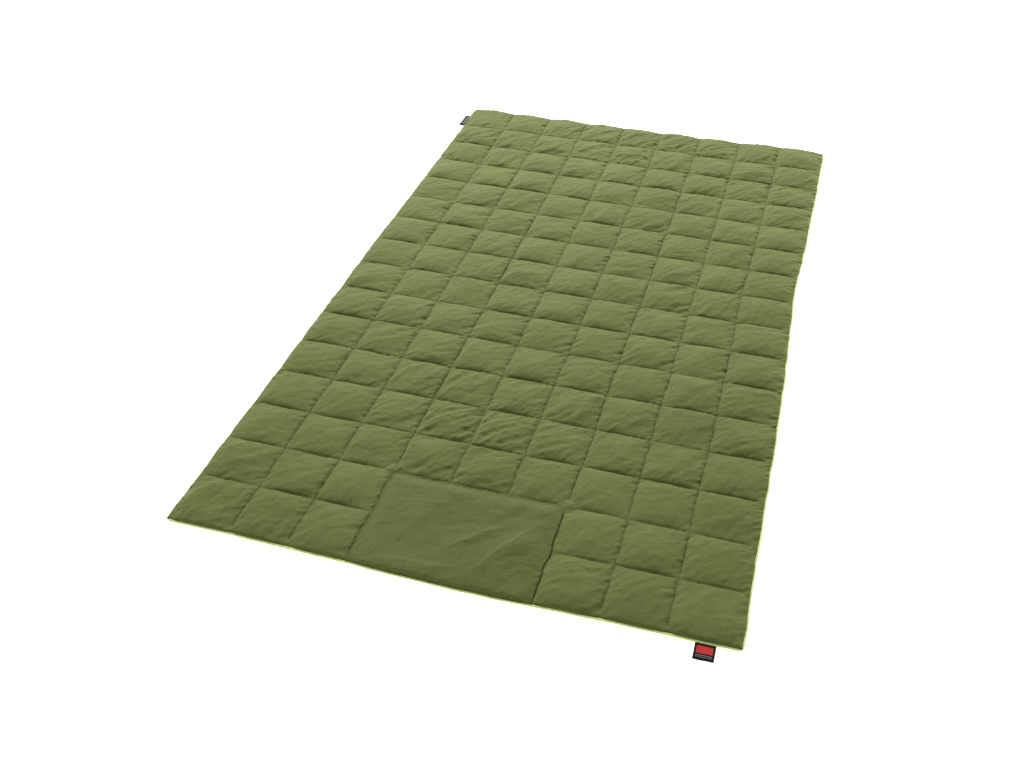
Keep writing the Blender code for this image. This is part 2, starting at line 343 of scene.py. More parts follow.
def fine_lines(seams, step):
    """Grid lines on the seams and between them, closer together beside a seam.
    Returns their places, the place within the cell from 0 to 1, and whether each is a seam."""
    places, within, on_seam = [seams[0]], [0.0], [True]
    for start, end in zip(seams, seams[1:]):
        count = 4 * round((end - start) / step / 4)
        for k in range(1, count + 1):
            share = k / count - CROWDING * math.sin(2 * math.pi * k / count) / (2 * math.pi)
            places.append(start + (end - start) * share)
            within.append(share if k < count else 0.0)
            on_seam.append(k == count)
    return np.array(places), np.array(within), np.array(on_seam)


def settle(points):
    """Shifts flat places to where they lie: the right side drawn in, the near edge bulging out,
    scallops along the edges, and seams not quite straight. Each shift is strongest where the
    photograph shows it."""
    x, y = points[..., 0], points[..., 1]
    to_right = smooth((x - 0.15) / 0.45) ** 2
    to_left = smooth((-x - 0.30) / 0.30)
    from_side = HALF_WIDTH - np.abs(x)
    from_near = np.maximum(y + HALF_LENGTH, 0.0)
    from_far = np.maximum(HALF_LENGTH - y, 0.0)
    drawn_in = RIGHT_DRAWN_IN * hump(y, 0.17, 0.22)
    drawn_in += RIGHT_DRAWN_IN_ALL * smooth((y + 1.0) / 0.4) * smooth((0.9 - y) / 0.3)
    shift_x = -drawn_in * to_right - LEFT_DRAWN_IN * hump(y, 0.2, 0.3) * to_left
    shift_y = -NEAR_BULGE * hump(x, 0.04, 0.16) * np.exp(-from_near / 0.10)
    shift_y += FAR_BULGE * hump(x, 0.49, 0.08) * np.exp(-from_far / 0.08)
    shift_y += MIDDLE_SHIFT * smooth(from_near / 0.14) * smooth(from_far / 0.14)
    column_wave = 0.5 * np.cos(2 * math.pi * x / CELL)
    row_wave = -0.5 * np.cos(2 * math.pi * y / CELL)
    far_scallop = FAR_SCALLOP * np.exp(-from_far / SCALLOP_REACH)
    near_scallop = NEAR_SCALLOP * np.exp(-from_near / SCALLOP_REACH)
    shift_y += column_wave * (far_scallop - near_scallop)
    side_scallop = np.where(x < 0, LEFT_SCALLOP, RIGHT_SCALLOP) * np.exp(-from_side / SCALLOP_REACH)
    shift_x += np.sign(x) * row_wave * side_scallop
    edge = np.exp(-np.minimum(from_side, HALF_LENGTH - np.abs(y)) / EDGE_REACH)
    inner = 1 - 0.75 * edge
    beside_pocket = hump(np.abs(x), POCKET_X, 0.03) * smooth((POCKET_Y + 0.03 - y) / 0.04)
    above_pocket = hump(y, POCKET_Y, 0.03) * smooth((POCKET_X + 0.04 - np.abs(x)) / 0.05)
    shift_x += SLOW_WOBBLE * noise_field(x, y, SLOW_WOBBLE_SIZE, 11)
    shift_y += SLOW_WOBBLE * noise_field(x, y, SLOW_WOBBLE_SIZE, 12)
    shift_x += EDGE_WOBBLE * edge * noise_field(x, y, EDGE_WOBBLE_SIZE, 13)
    shift_y += EDGE_WOBBLE * edge * noise_field(x, y, EDGE_WOBBLE_SIZE, 14)
    shift_x += SEAM_WOBBLE_X * inner * noise_field(x, y, SEAM_WOBBLE_SIZE, 15)
    shift_y += SEAM_WOBBLE_Y * inner * noise_field(x, y, SEAM_WOBBLE_SIZE, 16)
    shift_x += POCKET_WOBBLE_X * beside_pocket * noise_field(y, 0 * x, EDGE_WOBBLE_SIZE, 17)
    shift_y += POCKET_WOBBLE_Y * above_pocket * noise_field(x, 0 * y, EDGE_WOBBLE_SIZE, 18)
    moved = np.array(points, float)
    moved[..., 0] += shift_x
    moved[..., 1] += shift_y
    return moved


def edge_distance(x, y):
    """How far inside the edge of the face cover a flat place is."""
    return np.minimum(EDGE_X - np.abs(x), EDGE_Y - np.abs(y))


def face_base(x, y):
    """Height of the face cover where a seam runs: low at the piping, higher inside, and puckered."""
    rise = smooth(edge_distance(x, y) / EDGE_SLOPE)
    pucker = 0.0005 * noise_field(x, y, 0.014, 21) + 0.0007 * noise_field(x, y, 0.06, 22)
    return FACE_EDGE_Z + (FACE_SEAM_Z - CREASE_DEPTH - FACE_EDGE_Z) * rise + pucker * (0.25 + 0.75 * rise)


def lining_base(x, y):
    rise = smooth(edge_distance(x, y) / EDGE_SLOPE)
    pucker = 0.0004 * noise_field(x, y, 0.012, 31)
    return LINING_EDGE_Z + (LINING_SEAM_Z - LINING_EDGE_Z) * rise + pucker


def under_pocket(x, y):
    return (np.abs(x) < POCKET_X + 1e-6) & (y < POCKET_Y + 1e-6)


def pillow(u, v, root_u=PILLOW_ROOT, root_v=PILLOW_ROOT):
    """Height, from 0 to 1, of a stuffed square: a smaller root makes its sides steeper."""
    across = np.clip(1 - np.abs(2 * u - 1) ** PILLOW_POWER, 0, 1)
    along = np.clip(1 - np.abs(2 * v - 1) ** PILLOW_POWER, 0, 1)
    return across**root_u * along**root_v


def outer_roots(x, y, u, v):
    """The roots of the pillow's two directions: steeper on the side of a cell that faces the edge."""
    outer_u = (np.abs(x).max() > EDGE_X - 0.001) & ((u - 0.5) * x > 0)
    outer_v = (np.abs(y).max() > EDGE_Y - 0.001) & ((v - 0.5) * y > 0)
    root_u = np.where(outer_u, SIDE_PILLOW_ROOT, PILLOW_ROOT)
    root_v = np.where(outer_v, END_PILLOW_ROOT, PILLOW_ROOT)
    return root_u, root_v


def numbered(rows, columns, first=0):
    """A grid of point numbers, row by row."""
    return first + np.arange(rows * columns).reshape(rows, columns)


def quads_of(index):
    """The faces between the rows of a grid of point numbers."""
    corners = [index[:-1, :-1], index[:-1, 1:], index[1:, 1:], index[1:, :-1]]
    return np.stack(corners, axis=-1).reshape(-1, 4)


def grid_mesh(name, points, flat, wrap=False, flip=False):
    """A mesh from rows of points, with its flat coordinates in metres as the UV map "flat"."""
    rows, columns = points.shape[:2]
    own = columns - 1 if wrap else columns
    index = numbered(rows, own)
    if wrap:
        index = np.concatenate([index, index[:, :1]], axis=1)
    faces = quads_of(index)
    flats = quads_of(numbered(rows, columns))
    if flip:
        faces, flats = faces[:, ::-1], flats[:, ::-1]
    return raw_mesh(name, points[:, :own].reshape(-1, 3), faces, flat.reshape(-1, 2)[flats.ravel()])


def raw_mesh(name, points, faces, uv):
    sides = faces.shape[1]
    mesh = bpy.data.meshes.new(name)
    mesh.vertices.add(len(points))
    mesh.vertices.foreach_set("co", np.asarray(points, np.float32).ravel())
    mesh.loops.add(faces.size)
    mesh.loops.foreach_set("vertex_index", faces.astype(np.int32).ravel())
    mesh.polygons.add(len(faces))
    mesh.polygons.foreach_set("loop_start", np.arange(0, faces.size, sides, dtype=np.int32))
    mesh.update(calc_edges=True)
    layer = mesh.uv_layers.new(name="flat")
    layer.data.foreach_set("uv", np.asarray(uv, np.float32).ravel())
    mesh.shade_smooth()
    piece = bpy.data.objects.new(name, mesh)
    bpy.context.scene.collection.objects.link(piece)
    return piece


def thicken(piece, thickness, offset):
    """Gives a sheet of cloth its thickness, applied to its mesh."""
    wall = piece.modifiers.new("wall", "SOLIDIFY")
    wall.thickness = thickness
    wall.offset = offset
    wall.use_even_offset = False
    bpy.context.view_layer.update()
    graph = bpy.context.evaluated_depsgraph_get()
    solid = bpy.data.meshes.new_from_object(piece.evaluated_get(graph))
    piece.modifiers.clear()
    piece.data = solid


def attach(piece, side):
    """Ties a piece of the middle strip to the middle body; any other piece keeps its place, applied to its
    mesh.
    """
    if side == "middle":
        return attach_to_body(piece, "middle")
    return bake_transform(piece)


def finish_piece(piece, material, node_name, side=None):
    """Gives a piece its material, hides the CAD part it stands for, and attaches it by its side if it has
    one.
    """
    piece.data.materials.append(material)
    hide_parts(node_name)
    return attach(piece, side) if side else piece


# ---------------------------------------------------------------- cloth simulation


def add_cloth(name, patches, hold, stiffness, bending):
    """Squares of cloth, each cut larger than the space it is sewn into. Pinned points stay, and the
    wadding holds the rest softly. A patch is (start, rest, pinned), as grids of points."""
    offset, faces = 0, []
    for start, _, _ in patches:
        rows, columns = start.shape[:2]
        faces.append(quads_of(numbered(rows, columns, offset)))
        offset += rows * columns
    faces = np.concatenate(faces)
    starts = np.concatenate([start.reshape(-1, 3) for start, _, _ in patches])
    rests = np.concatenate([rest.reshape(-1, 3) for _, rest, _ in patches])
    fixed = np.concatenate([pinned.ravel() for _, _, pinned in patches])
    cloth = raw_mesh(name, starts, faces, starts[faces.ravel(), :2])
    cloth.shape_key_add(name="Basis")
    key = cloth.shape_key_add(name="rest")
    key.data.foreach_set("co", rests.astype(np.float32).ravel())
    key.value = 0
    group = cloth.vertex_groups.new(name="pin")
    group.add(np.nonzero(fixed)[0].tolist(), 1.0, "REPLACE")
    group.add(np.nonzero(~fixed)[0].tolist(), hold, "REPLACE")
    modifier = cloth.modifiers.new("cloth", "CLOTH")
    settings = modifier.settings
    settings.rest_shape_key = key
    settings.vertex_group_mass = "pin"
    settings.tension_stiffness = stiffness
    settings.compression_stiffness = stiffness
    settings.shear_stiffness = stiffness / 3
    settings.bending_stiffness = bending
    for key, value in CLOTH_SETTINGS.items():
        setattr(settings, key, value)
    settings.effector_weights.gravity = 0.0
    modifier.collision_settings.use_collision = False
    modifier.point_cache.frame_start = 1
    modifier.point_cache.frame_end = FRAMES
    return cloth


def simulate(cloths):
    """Runs every cloth together, and returns the places of its points at the end, patch by patch."""
    scene = bpy.context.scene
    scene.frame_start = 1
    scene.frame_end = FRAMES
    for number in range(1, FRAMES + 1):
        scene.frame_set(number)
    graph = bpy.context.evaluated_depsgraph_get()
    results = []
    for cloth, patches in cloths:
        evaluated = cloth.evaluated_get(graph)
        mesh = evaluated.to_mesh()
        points = np.empty(len(mesh.vertices) * 3, np.float32)
        mesh.vertices.foreach_get("co", points)
        evaluated.to_mesh_clear()
        sizes = [patch[0].size for patch in patches]
        parts = np.split(points.astype(float), np.cumsum(sizes)[:-1])
        results.append([part.reshape(patch[0].shape) for part, patch in zip(parts, patches)])
    for cloth, _ in cloths:
        data = cloth.data
        bpy.data.objects.remove(cloth)
        bpy.data.meshes.remove(data)
    scene.frame_set(1)
    return results


def cap_moves(points, start, most):
    """Keeps every simulated point within reach of where it began."""
    moves = points - start
    length = np.linalg.norm(moves, axis=-1, keepdims=True)
    return start + moves * np.minimum(1.0, most / np.maximum(length, 1e-9))


X_LINES, U_LINES, X_SEAM = fine_lines(COLUMN_SEAMS, STEP)
Y_LINES, V_LINES, Y_SEAM = fine_lines(ROW_SEAMS, STEP)


def strip_indices(side):
    """The grid lines that run along one strip."""
    seam_indices = np.nonzero(X_SEAM)[0]
    first, last = SPANS[side]
    return np.arange(seam_indices[first], seam_indices[last] + 1)


def crease_strength(x, y):
    """How strongly each part of the quilt is creased: it varies slowly, and some cells are rumpled more."""
    strength = 1.0 + 0.9 * noise_field(x, y, 0.30, 41) + 0.4 * smooth(y / 0.9)
    for spot_x, spot_y, width, extra in RUMPLES:
        strength += extra * hump(x, spot_x, width) * hump(y, spot_y, width)
    return np.clip(strength, 0.55, 2.6)


def cells_of(side, every=1):
    """The row and column slices of each cell in the grid of a strip."""
    on_seam = X_SEAM[strip_indices(side)][::every]
    columns = np.nonzero(on_seam)[0]
    rows = np.nonzero(Y_SEAM[::every])[0]
    cells = []
    for low, high in zip(rows, rows[1:]):
        for left, right in zip(columns, columns[1:]):
            cells.append((slice(low, high + 1), slice(left, right + 1)))
    return cells


def loose_cell(start, excess, slant, slant_excess, ripple, ripple_size, seed):
    """The rest shape of one cell's cloth: larger than the cell, and larger still across the slant."""
    x, y = start[..., 0], start[..., 1]
    across, along = x - x.mean(), y - y.mean()
    towards = across * math.cos(slant) + along * math.sin(slant)
    rest = start.copy()
    rest[..., 0] = x + excess * across + slant_excess * math.cos(slant) * towards
    rest[..., 1] = y + excess * along + slant_excess * math.sin(slant) * towards
    rest[..., 0] += ripple * noise_field(x, y, ripple_size, seed)
    rest[..., 1] += ripple * noise_field(x, y, ripple_size, seed + 1)
    return rest


def folds(x, y, slant, size, seed, crest):
    """Soft folds running along the slant: rounded crests over sharp valleys, or sharp crests over
    rounded valleys where crest is negative."""
    along = x * math.cos(slant) + y * math.sin(slant)
    across = y * math.cos(slant) - x * math.sin(slant)
    across = across + 0.010 * noise_field(x, y, 0.08, seed + 1)
    wave = noise_field(along * FOLD_STRETCH, across, size, seed)
    return 0.5 * wave + crest * (np.abs(wave) - 0.28)


def gathers(along, distance, lean, size, reach, seed):
    """Short gathers that run away from a seam, leaning to one side: long ones among shorter ones."""
    place = along + lean * distance
    wave = noise_field(distance * GATHER_STRETCH, place, size, seed)
    length = reach * (1 + 0.6 * noise_field(place, place * 0, 0.03, seed + 1))
    crest = 0.35 - np.abs(wave) * 1.3 + 0.4 * wave
    return crest * np.exp(-distance / length) * smooth(distance / 0.0035)


def cell_slant(x, y):
    """The direction in which the folds of a cell run, from the place of its middle."""
    return math.radians(44) + 0.70 * float(noise_field(x, y, 0.17, 46))


def cell_relief(x, y, u, v):
    """Heights over the seams of one cell: its wadding and broad folds, then its fine folds and gathers."""
    middle = (float(x.mean()), float(y.mean()))
    strength = float(crease_strength(*middle))
    slant = cell_slant(*middle)
    crest = 0.9 if float(noise_field(*middle, 0.15, 45)) > 0 else -0.9
    to_column = np.minimum(u, 1 - u) * CELL
    to_row = np.minimum(v, 1 - v) * CELL
    to_seam = np.minimum(to_column, to_row)
    leaning_u = u + PILLOW_LEAN * float(noise_field(*middle, 0.11, 53)) * u * (1 - u)
    leaning_v = v + PILLOW_LEAN * float(noise_field(*middle, 0.11, 55)) * v * (1 - v)
    fullness = 1 + UNEVEN_FULLNESS * noise_field(x, y, 0.15, 42)
    fullness = fullness - NEAR_LESS_FULL * smooth((-0.45 - y) / 0.4) + FAR_MORE_FULL * smooth((y - 0.1) / 0.7)
    broad = FACE_RISE * fullness * pillow(leaning_u, leaning_v, *outer_roots(x, y, u, v))
    broad += CREASE_DEPTH * (1 - np.exp(-to_seam / CREASE_WIDTH))
    broad += LUMPS * noise_field(x, y, 0.075, 43) * smooth(to_seam / 0.03)
    away = smooth(to_seam / 0.020) * (0.55 + 0.45 * np.exp(-to_seam / 0.030))
    broad += BROAD_FOLDS * strength * away * folds(x, y, slant, 0.028, 47, crest)
    beside = smooth(to_seam / 0.008) * (0.50 + 0.50 * np.exp(-to_seam / 0.025))
    small_folds = MEDIUM_FOLDS * folds(x, y, slant + 0.35, 0.016, 49, -crest)
    small_folds = small_folds + SMALL_FOLDS * folds(x, y, slant - 0.7, 0.011, 51, crest)
    lean = COLUMN_GATHER_LEAN * np.sign(u - 0.5)
    height = np.where(u > 0.5, GATHERS_LEFT_OF_SEAM, GATHERS_RIGHT_OF_SEAM)
    fine = strength * beside * small_folds + height * gathers(y, to_column, lean, 0.014, 0.013, 60)
    fine += ROW_GATHERS * gathers(x, to_row, ROW_GATHER_LEAN, 0.014, 0.008, 62)
    along_edge = np.where(EDGE_X - np.abs(x) < EDGE_Y - np.abs(y), y, x)
    off_near_edge = smooth((y + EDGE_Y) / 0.05)
    edge_gathers = gathers(along_edge, edge_distance(x, y), EDGE_GATHER_LEAN, 0.013, 0.014, 64)
    fine += EDGE_GATHERS * off_near_edge * edge_gathers
    return broad, fine


def face_start(side):
    """The face cover of one strip before the simulation, with its pillows and broad folds, and the
    fine relief to add afterwards."""
    picked = strip_indices(side)
    x, y = np.meshgrid(X_LINES[picked], Y_LINES)
    u, v = np.meshgrid(U_LINES[picked], V_LINES)
    lift = POCKET_RISE * pillow(u, v)
    fine = np.zeros_like(lift)
    for cell in cells_of(side):
        if not under_pocket(x[cell].mean(), y[cell].mean()):
            lift[cell], fine[cell] = cell_relief(x[cell], y[cell], u[cell], v[cell])
    distance = edge_distance(x, y)
    end_ridge = SEAM_END_RISE * smooth(distance / SEAM_END_WIDTH) * smooth((SEAM_END - distance) / 0.008)
    beside = [hump(np.minimum(t, 1 - t) * CELL, 0, SEAM_END_WIDTH) for t in (u, v)]
    lift = np.maximum(lift, np.where(under_pocket(x, y), 0, end_ridge * np.maximum(*beside)))
    corner_x = np.abs(x) - POCKET_X - POCKET_CORNER_BUMP_SHIFT
    corner = hump(np.hypot(corner_x, y - POCKET_Y - POCKET_CORNER_BUMP_SHIFT), 0, POCKET_CORNER_BUMP_SIZE)
    lift = np.maximum(lift, POCKET_CORNER_BUMP * corner)
    return np.stack([x, y, face_base(x, y) + lift], -1), fine


def border_of(shape):
    border = np.ones(shape[:2], bool)
    border[1:-1, 1:-1] = False
    return border


def face_patches(side, start):
    """The loose cells of one strip, without those under the pocket."""
    cells, patches = [], []
    for cell in cells_of(side, EVERY):
        part = start[cell]
        middle = part[..., :2].mean((0, 1))
        if under_pocket(*middle):
            continue
        strength = float(crease_strength(*middle))
        slant = cell_slant(*middle) - math.pi / 2
        excess = FACE_EXCESS * (0.6 + 0.4 * strength)
        slant_excess = SLANT_EXCESS * strength
        rest = loose_cell(part, excess, slant, slant_excess, FACE_RIPPLE * strength, RIPPLE_SIZE, 44)
        cells.append(cell)
        patches.append((part, rest, border_of(part.shape)))
    return cells, patches


def refined(coarse):
    """A grid of twice the density, by cubic interpolation."""
    for _ in (0, 1):
        padded = np.concatenate([2 * coarse[:1] - coarse[1:2], coarse, 2 * coarse[-1:] - coarse[-2:-1]])
        between_lines = (9 * (padded[1:-2] + padded[2:-1]) - padded[:-3] - padded[3:]) / 16
        finer = np.empty((2 * len(coarse) - 1, *coarse.shape[1:]))
        finer[::2], finer[1::2] = coarse, between_lines
        coarse = finer.swapaxes(0, 1)
    return coarse


def roll_left_edge(face, lining):
    """Turns the left edge of the face cover outwards and down over its piping, and draws the lining in."""
    from_ends = smooth((EDGE_Y - np.abs(face[..., 1])) / 0.030)
    from_edge = face[..., 0] + EDGE_X
    share = smooth((LEFT_ROLL_REACH - from_edge) / LEFT_ROLL_REACH) * from_ends
    at_edge = smooth((0.001 - from_edge) / 0.001) * from_ends
    face[..., 0] -= LEFT_ROLL_OUT * share
    face[..., 2] += (LEFT_EDGE_Z - face[..., 2]) * at_edge
    from_edge = lining[..., 0] + EDGE_X
    lining[..., 0] += LEFT_LINING_IN * smooth((LEFT_ROLL_REACH - from_edge) / LEFT_ROLL_REACH)


def lining_start(side):
    """The lining of one strip before the simulation, whose cells are pressed flat on the ground."""
    picked = strip_indices(side)[::EVERY]
    x, y = np.meshgrid(X_LINES[picked], Y_LINES[::EVERY])
    u, v = np.meshgrid(U_LINES[picked], V_LINES[::EVERY])
    return np.stack([x, y, lining_base(x, y) - LINING_DROP * pillow(u, v)], -1)


def lining_patches(side, start):
    cells = cells_of(side, EVERY)
    patches = []
    for cell in cells:
        part = start[cell]
        middle = part[..., :2].mean((0, 1))
        slant = math.radians(40) + 0.8 * float(noise_field(*middle, 0.21, 56))
        ripples = (LINING_RIPPLE, LINING_RIPPLE_SIZE, 54)
        rest = loose_cell(part, LINING_EXCESS, slant, LINING_SLANT_EXCESS, *ripples)
        patches.append((part, rest, border_of(part.shape)))
    return cells, patches


def pocket_outline_map(x, y):
    """Rounds the two inner corners of the pocket's rectangle of cloth."""
    half = POCKET_BOX[1].x
    top = POCKET_BOX[1].y
    a = np.clip(np.abs(x) - (half - POCKET_CORNER), 0, None) / POCKET_CORNER
    b = np.clip(y - (top - POCKET_CORNER), 0, None) / POCKET_CORNER
    round_a = a * np.sqrt(1 - b * b / 2)
    round_b = b * np.sqrt(1 - a * a / 2)
    return x + np.sign(x) * (round_a - a) * POCKET_CORNER, y + (round_b - b) * POCKET_CORNER


def crease_ridge(x, y, start, end):
    """A soft ridge along a line, steep on one side and long on the other, that fades at both ends."""
    length = math.dist(start, end)
    ahead = ((end[0] - start[0]) / length, (end[1] - start[1]) / length)
    along = (x - start[0]) * ahead[0] + (y - start[1]) * ahead[1]
    across = (y - start[1]) * ahead[0] - (x - start[0]) * ahead[1] + 0.006 * noise_field(x, y, 0.06, 68)
    fade = smooth(along / (0.35 * length)) * smooth((length - along) / (0.35 * length))
    return fade * np.exp(-np.where(across > 0, across / 0.007, -across / 0.028))


def pocket_layer():
    """The pocket's panel, sewn down on three sides and open at the near edge: its points at the start,
    its rest shape, which points are pinned, its flat places, and its fine relief."""
    half = POCKET_BOX[1].x
    mouth = POCKET_BOX[0].y - POCKET_MOUTH_REACH
    top = POCKET_BOX[1].y
    columns = 2 * round(half / POCKET_STEP)
    rows = round((top - mouth) / POCKET_STEP)
    flat_x, flat_y = np.meshgrid(np.linspace(-half, half, columns + 1), np.linspace(mouth, top, rows + 1))
    x, y = pocket_outline_map(flat_x, flat_y)
    sewn = np.minimum(half - np.abs(flat_x), top - flat_y)
    loose = smooth((sewn - 0.003) / POCKET_SLOPE) ** 0.7
    from_mouth = flat_y - mouth
    z = POCKET_FLANGE_Z + (POCKET_CROWN + POCKET_TILT * (from_mouth / (top - mouth) - 0.5)) * loose
    drop = POCKET_MOUTH_DROP * loose + POCKET_FLANGE_Z - POCKET_MOUTH_Z
    z -= drop * np.exp(-from_mouth / POCKET_MOUTH_ROLL)
    z += POCKET_LUMPS * noise_field(x, y, 0.09, 62) * smooth(sewn / 0.04)
    z += POCKET_FOLDS * smooth(sewn / 0.02) * folds(x, y, math.radians(57), 0.060, 65, 0.9)
    fine = POCKET_GATHERS * gathers(flat_x + flat_y, np.maximum(sewn, 0), 0.8, 0.014, 0.016, 61)
    small_folds = folds(x, y, math.radians(35), 0.024, 67, -0.8)
    fine += POCKET_SMALL_FOLDS * smooth(sewn / 0.02) * small_folds
    for start_x, start_y, end_x, end_y, height in POCKET_CREASES:
        fine += height * crease_ridge(x, y, (start_x, start_y), (end_x, end_y))
    rest_x = x * (1 + POCKET_EXCESS_X) + POCKET_RIPPLE * noise_field(x, y, POCKET_RIPPLE_SIZE, 63)
    rest_y = y * (1 + POCKET_EXCESS_Y) + POCKET_RIPPLE * noise_field(x, y, POCKET_RIPPLE_SIZE, 64)
    pinned = sewn < POCKET_SEAM_WIDTH
    flat = np.stack([flat_x, flat_y], -1)
    return np.stack([x, y, z], -1), np.stack([rest_x, rest_y, z], -1), pinned, flat, fine


face_points, face_fine = {}, {}
for side in SPANS:
    face_points[side], face_fine[side] = face_start(side)
lining_points = {side: lining_start(side) for side in SPANS}
face_flat = {side: face_points[side][..., :2].copy() for side in SPANS}
lining_flat = {side: lining_points[side][..., :2].copy() for side in SPANS}
pocket_start, pocket_rest, pocket_pinned, pocket_flat, pocket_fine = pocket_layer()
coarse_faces = {side: face_points[side][::EVERY, ::EVERY].copy() for side in SPANS}
pocket_points = pocket_start.copy()
jobs = []
for side in SPANS:
    cells, patches = face_patches(side, coarse_faces[side])
    cloth = add_cloth(f"sim_face_{side}", patches, FACE_HOLD, CLOTH_STIFFNESS, FACE_BENDING)
    jobs.append((cloth, patches, cells, coarse_faces[side], FACE_MOVES_AT_MOST))
for side in SPANS:
    cells, patches = lining_patches(side, lining_points[side])
    cloth = add_cloth(f"sim_lining_{side}", patches, LINING_HOLD, CLOTH_STIFFNESS, FACE_BENDING)
    jobs.append((cloth, patches, cells, lining_points[side], LINING_MOVES_AT_MOST))
pocket_patch = [(pocket_start, pocket_rest, pocket_pinned)]
whole = (slice(None), slice(None))
cloth = add_cloth("sim_pocket", pocket_patch, FACE_HOLD, CLOTH_STIFFNESS, POCKET_BENDING)
jobs.append((cloth, pocket_patch, [whole], pocket_points, POCKET_MOVES_AT_MOST))
results = simulate([(cloth, patches) for cloth, patches, _, _, _ in jobs])
for parts, (_, patches, cells, points, most) in zip(results, jobs):
    for part, (start, _, _), cell in zip(parts, patches, cells):
        points[cell] = cap_moves(part, start, most)
for side, points in face_points.items():
    points += refined(coarse_faces[side] - points[::EVERY, ::EVERY])
    points[..., 2] = np.minimum(points[..., 2] + face_fine[side], FACE_TOP)
for points in lining_points.values():
    points[..., 2] = np.maximum(points[..., 2], LINING_FLOOR)
pocket_points[..., 2] += pocket_fine
roll_left_edge(face_points["left"], lining_points["left"])


# ---------------------------------------------------------------- materials


def wire(tree, made, inputs):
    """Links each input of a node to a socket, or sets it to a value."""
    for key, value in inputs.items():
        if isinstance(value, bpy.types.NodeSocket):
            tree.links.new(value, made.inputs[key])
        else:
            made.inputs[key].default_value = value


def node(tree, kind, inputs=None, **settings):
    made = tree.nodes.new(kind)
    for key, value in settings.items():
        setattr(made, key, value)
    wire(tree, made, inputs or {})
    return made


def calc(tree, operation, first, second=0.0, third=0.0):
    return node(tree, "ShaderNodeMath", {0: first, 1: second, 2: third}, operation=operation).outputs[0]


def texture(tree, coordinates, size, detail=2.0, distortion=0.0):
    """Noise from 0 to 1 whose features are about the given size across, in metres."""
    made = node(
        tree,
        "ShaderNodeTexNoise",
        {"Vector": coordinates, "Scale": 1 / size, "Detail": detail, "Distortion": distortion},
        noise_dimensions="2D",
    )
    return made.outputs[0]


def new_material(name):
    material = bpy.data.materials.new(name)
    material.use_nodes = True
    tree = material.node_tree
    shader = tree.nodes["Principled BSDF"]
    coordinates = node(tree, "ShaderNodeUVMap", uv_map="flat").outputs[0]
    return material, tree, shader, coordinates


def axes(tree, coordinates):
    """The separate outputs of a place: across and along the piece."""
    return node(tree, "ShaderNodeSeparateXYZ", {0: coordinates}).outputs


def ribs(tree, value, pitch):
    """Height, from 0 to 1, of parallel rounded ribs with the given pitch."""
    return calc(tree, "ABSOLUTE", calc(tree, "SINE", calc(tree, "MULTIPLY", value, math.pi / pitch)))


def diagonal_ribs(tree, coordinates, pitch):
    parts = axes(tree, coordinates)
    return ribs(tree, calc(tree, "ADD", parts[0], parts[1]), pitch)


def threads(tree, coordinates, pitch):
    """Height, from 0 to 1, of crossing threads with the given pitch."""
    parts = axes(tree, coordinates)
    both = calc(tree, "ADD", ribs(tree, parts[0], pitch), ribs(tree, parts[1], pitch))
    return calc(tree, "MULTIPLY", both, 0.5)


def fade_out(tree, distance, length):
    """1 at no distance, and less and less over the given length."""
    return calc(tree, "EXPONENT", calc(tree, "MULTIPLY", distance, -1 / length))


def mapped(tree, value, low, high, to_low=0.0, to_high=1.0, kind="LINEAR"):
    """A value between two limits moved to lie between two others."""
    limits = {"From Min": low, "From Max": high, "To Min": to_low, "To Max": to_high}
    return node(tree, "ShaderNodeMapRange", {"Value": value, **limits}, interpolation_type=kind).outputs[0]


def vector(tree, operation, inputs, output=0):
    return node(tree, "ShaderNodeVectorMath", inputs, operation=operation).outputs[output]


def sharp_ridge(tree, wave):
    """A sharp line, 1 high, along the middle level of a noise."""
    return calc(tree, "PINGPONG", calc(tree, "MULTIPLY", wave, 2.0), 1.0)


def seam_puckers(tree, coordinates):
    """Height, from 0 to 1, of small sharp gathers that lean away from every seam and fade beside it."""
    parts = axes(tree, coordinates)
    total = 0.0
    for across, along, offset in ((0, 1, CELL / 2), (1, 0, 0.0)):
        distance = calc(tree, "PINGPONG", calc(tree, "ADD", parts[across], offset), CELL / 2)
        place = calc(tree, "MULTIPLY_ADD", distance, 0.6, parts[along])
        away = calc(tree, "MULTIPLY", distance, 0.2)
        stretched = node(tree, "ShaderNodeCombineXYZ", {0: place, 1: away}).outputs[0]
        line = sharp_ridge(tree, texture(tree, stretched, PUCKER_SIZE, detail=1.0))
        total = calc(tree, "MULTIPLY_ADD", line, fade_out(tree, distance, PUCKER_REACH), total)
    return total


def painted_shade_line(tree, distance, width, depth):
    """Painted shade along a sewn line: 1 away from it, and less in its pinch."""
    return calc(tree, "SUBTRACT", 1.0, calc(tree, "MULTIPLY", fade_out(tree, distance, width), depth))


def seam_distances(tree, coordinates):
    """The distances to the nearest column seam and the nearest row seam."""
    parts = axes(tree, coordinates)
    columns = calc(tree, "PINGPONG", calc(tree, "ADD", parts[0], CELL / 2), CELL / 2)
    return columns, calc(tree, "PINGPONG", parts[1], CELL / 2)


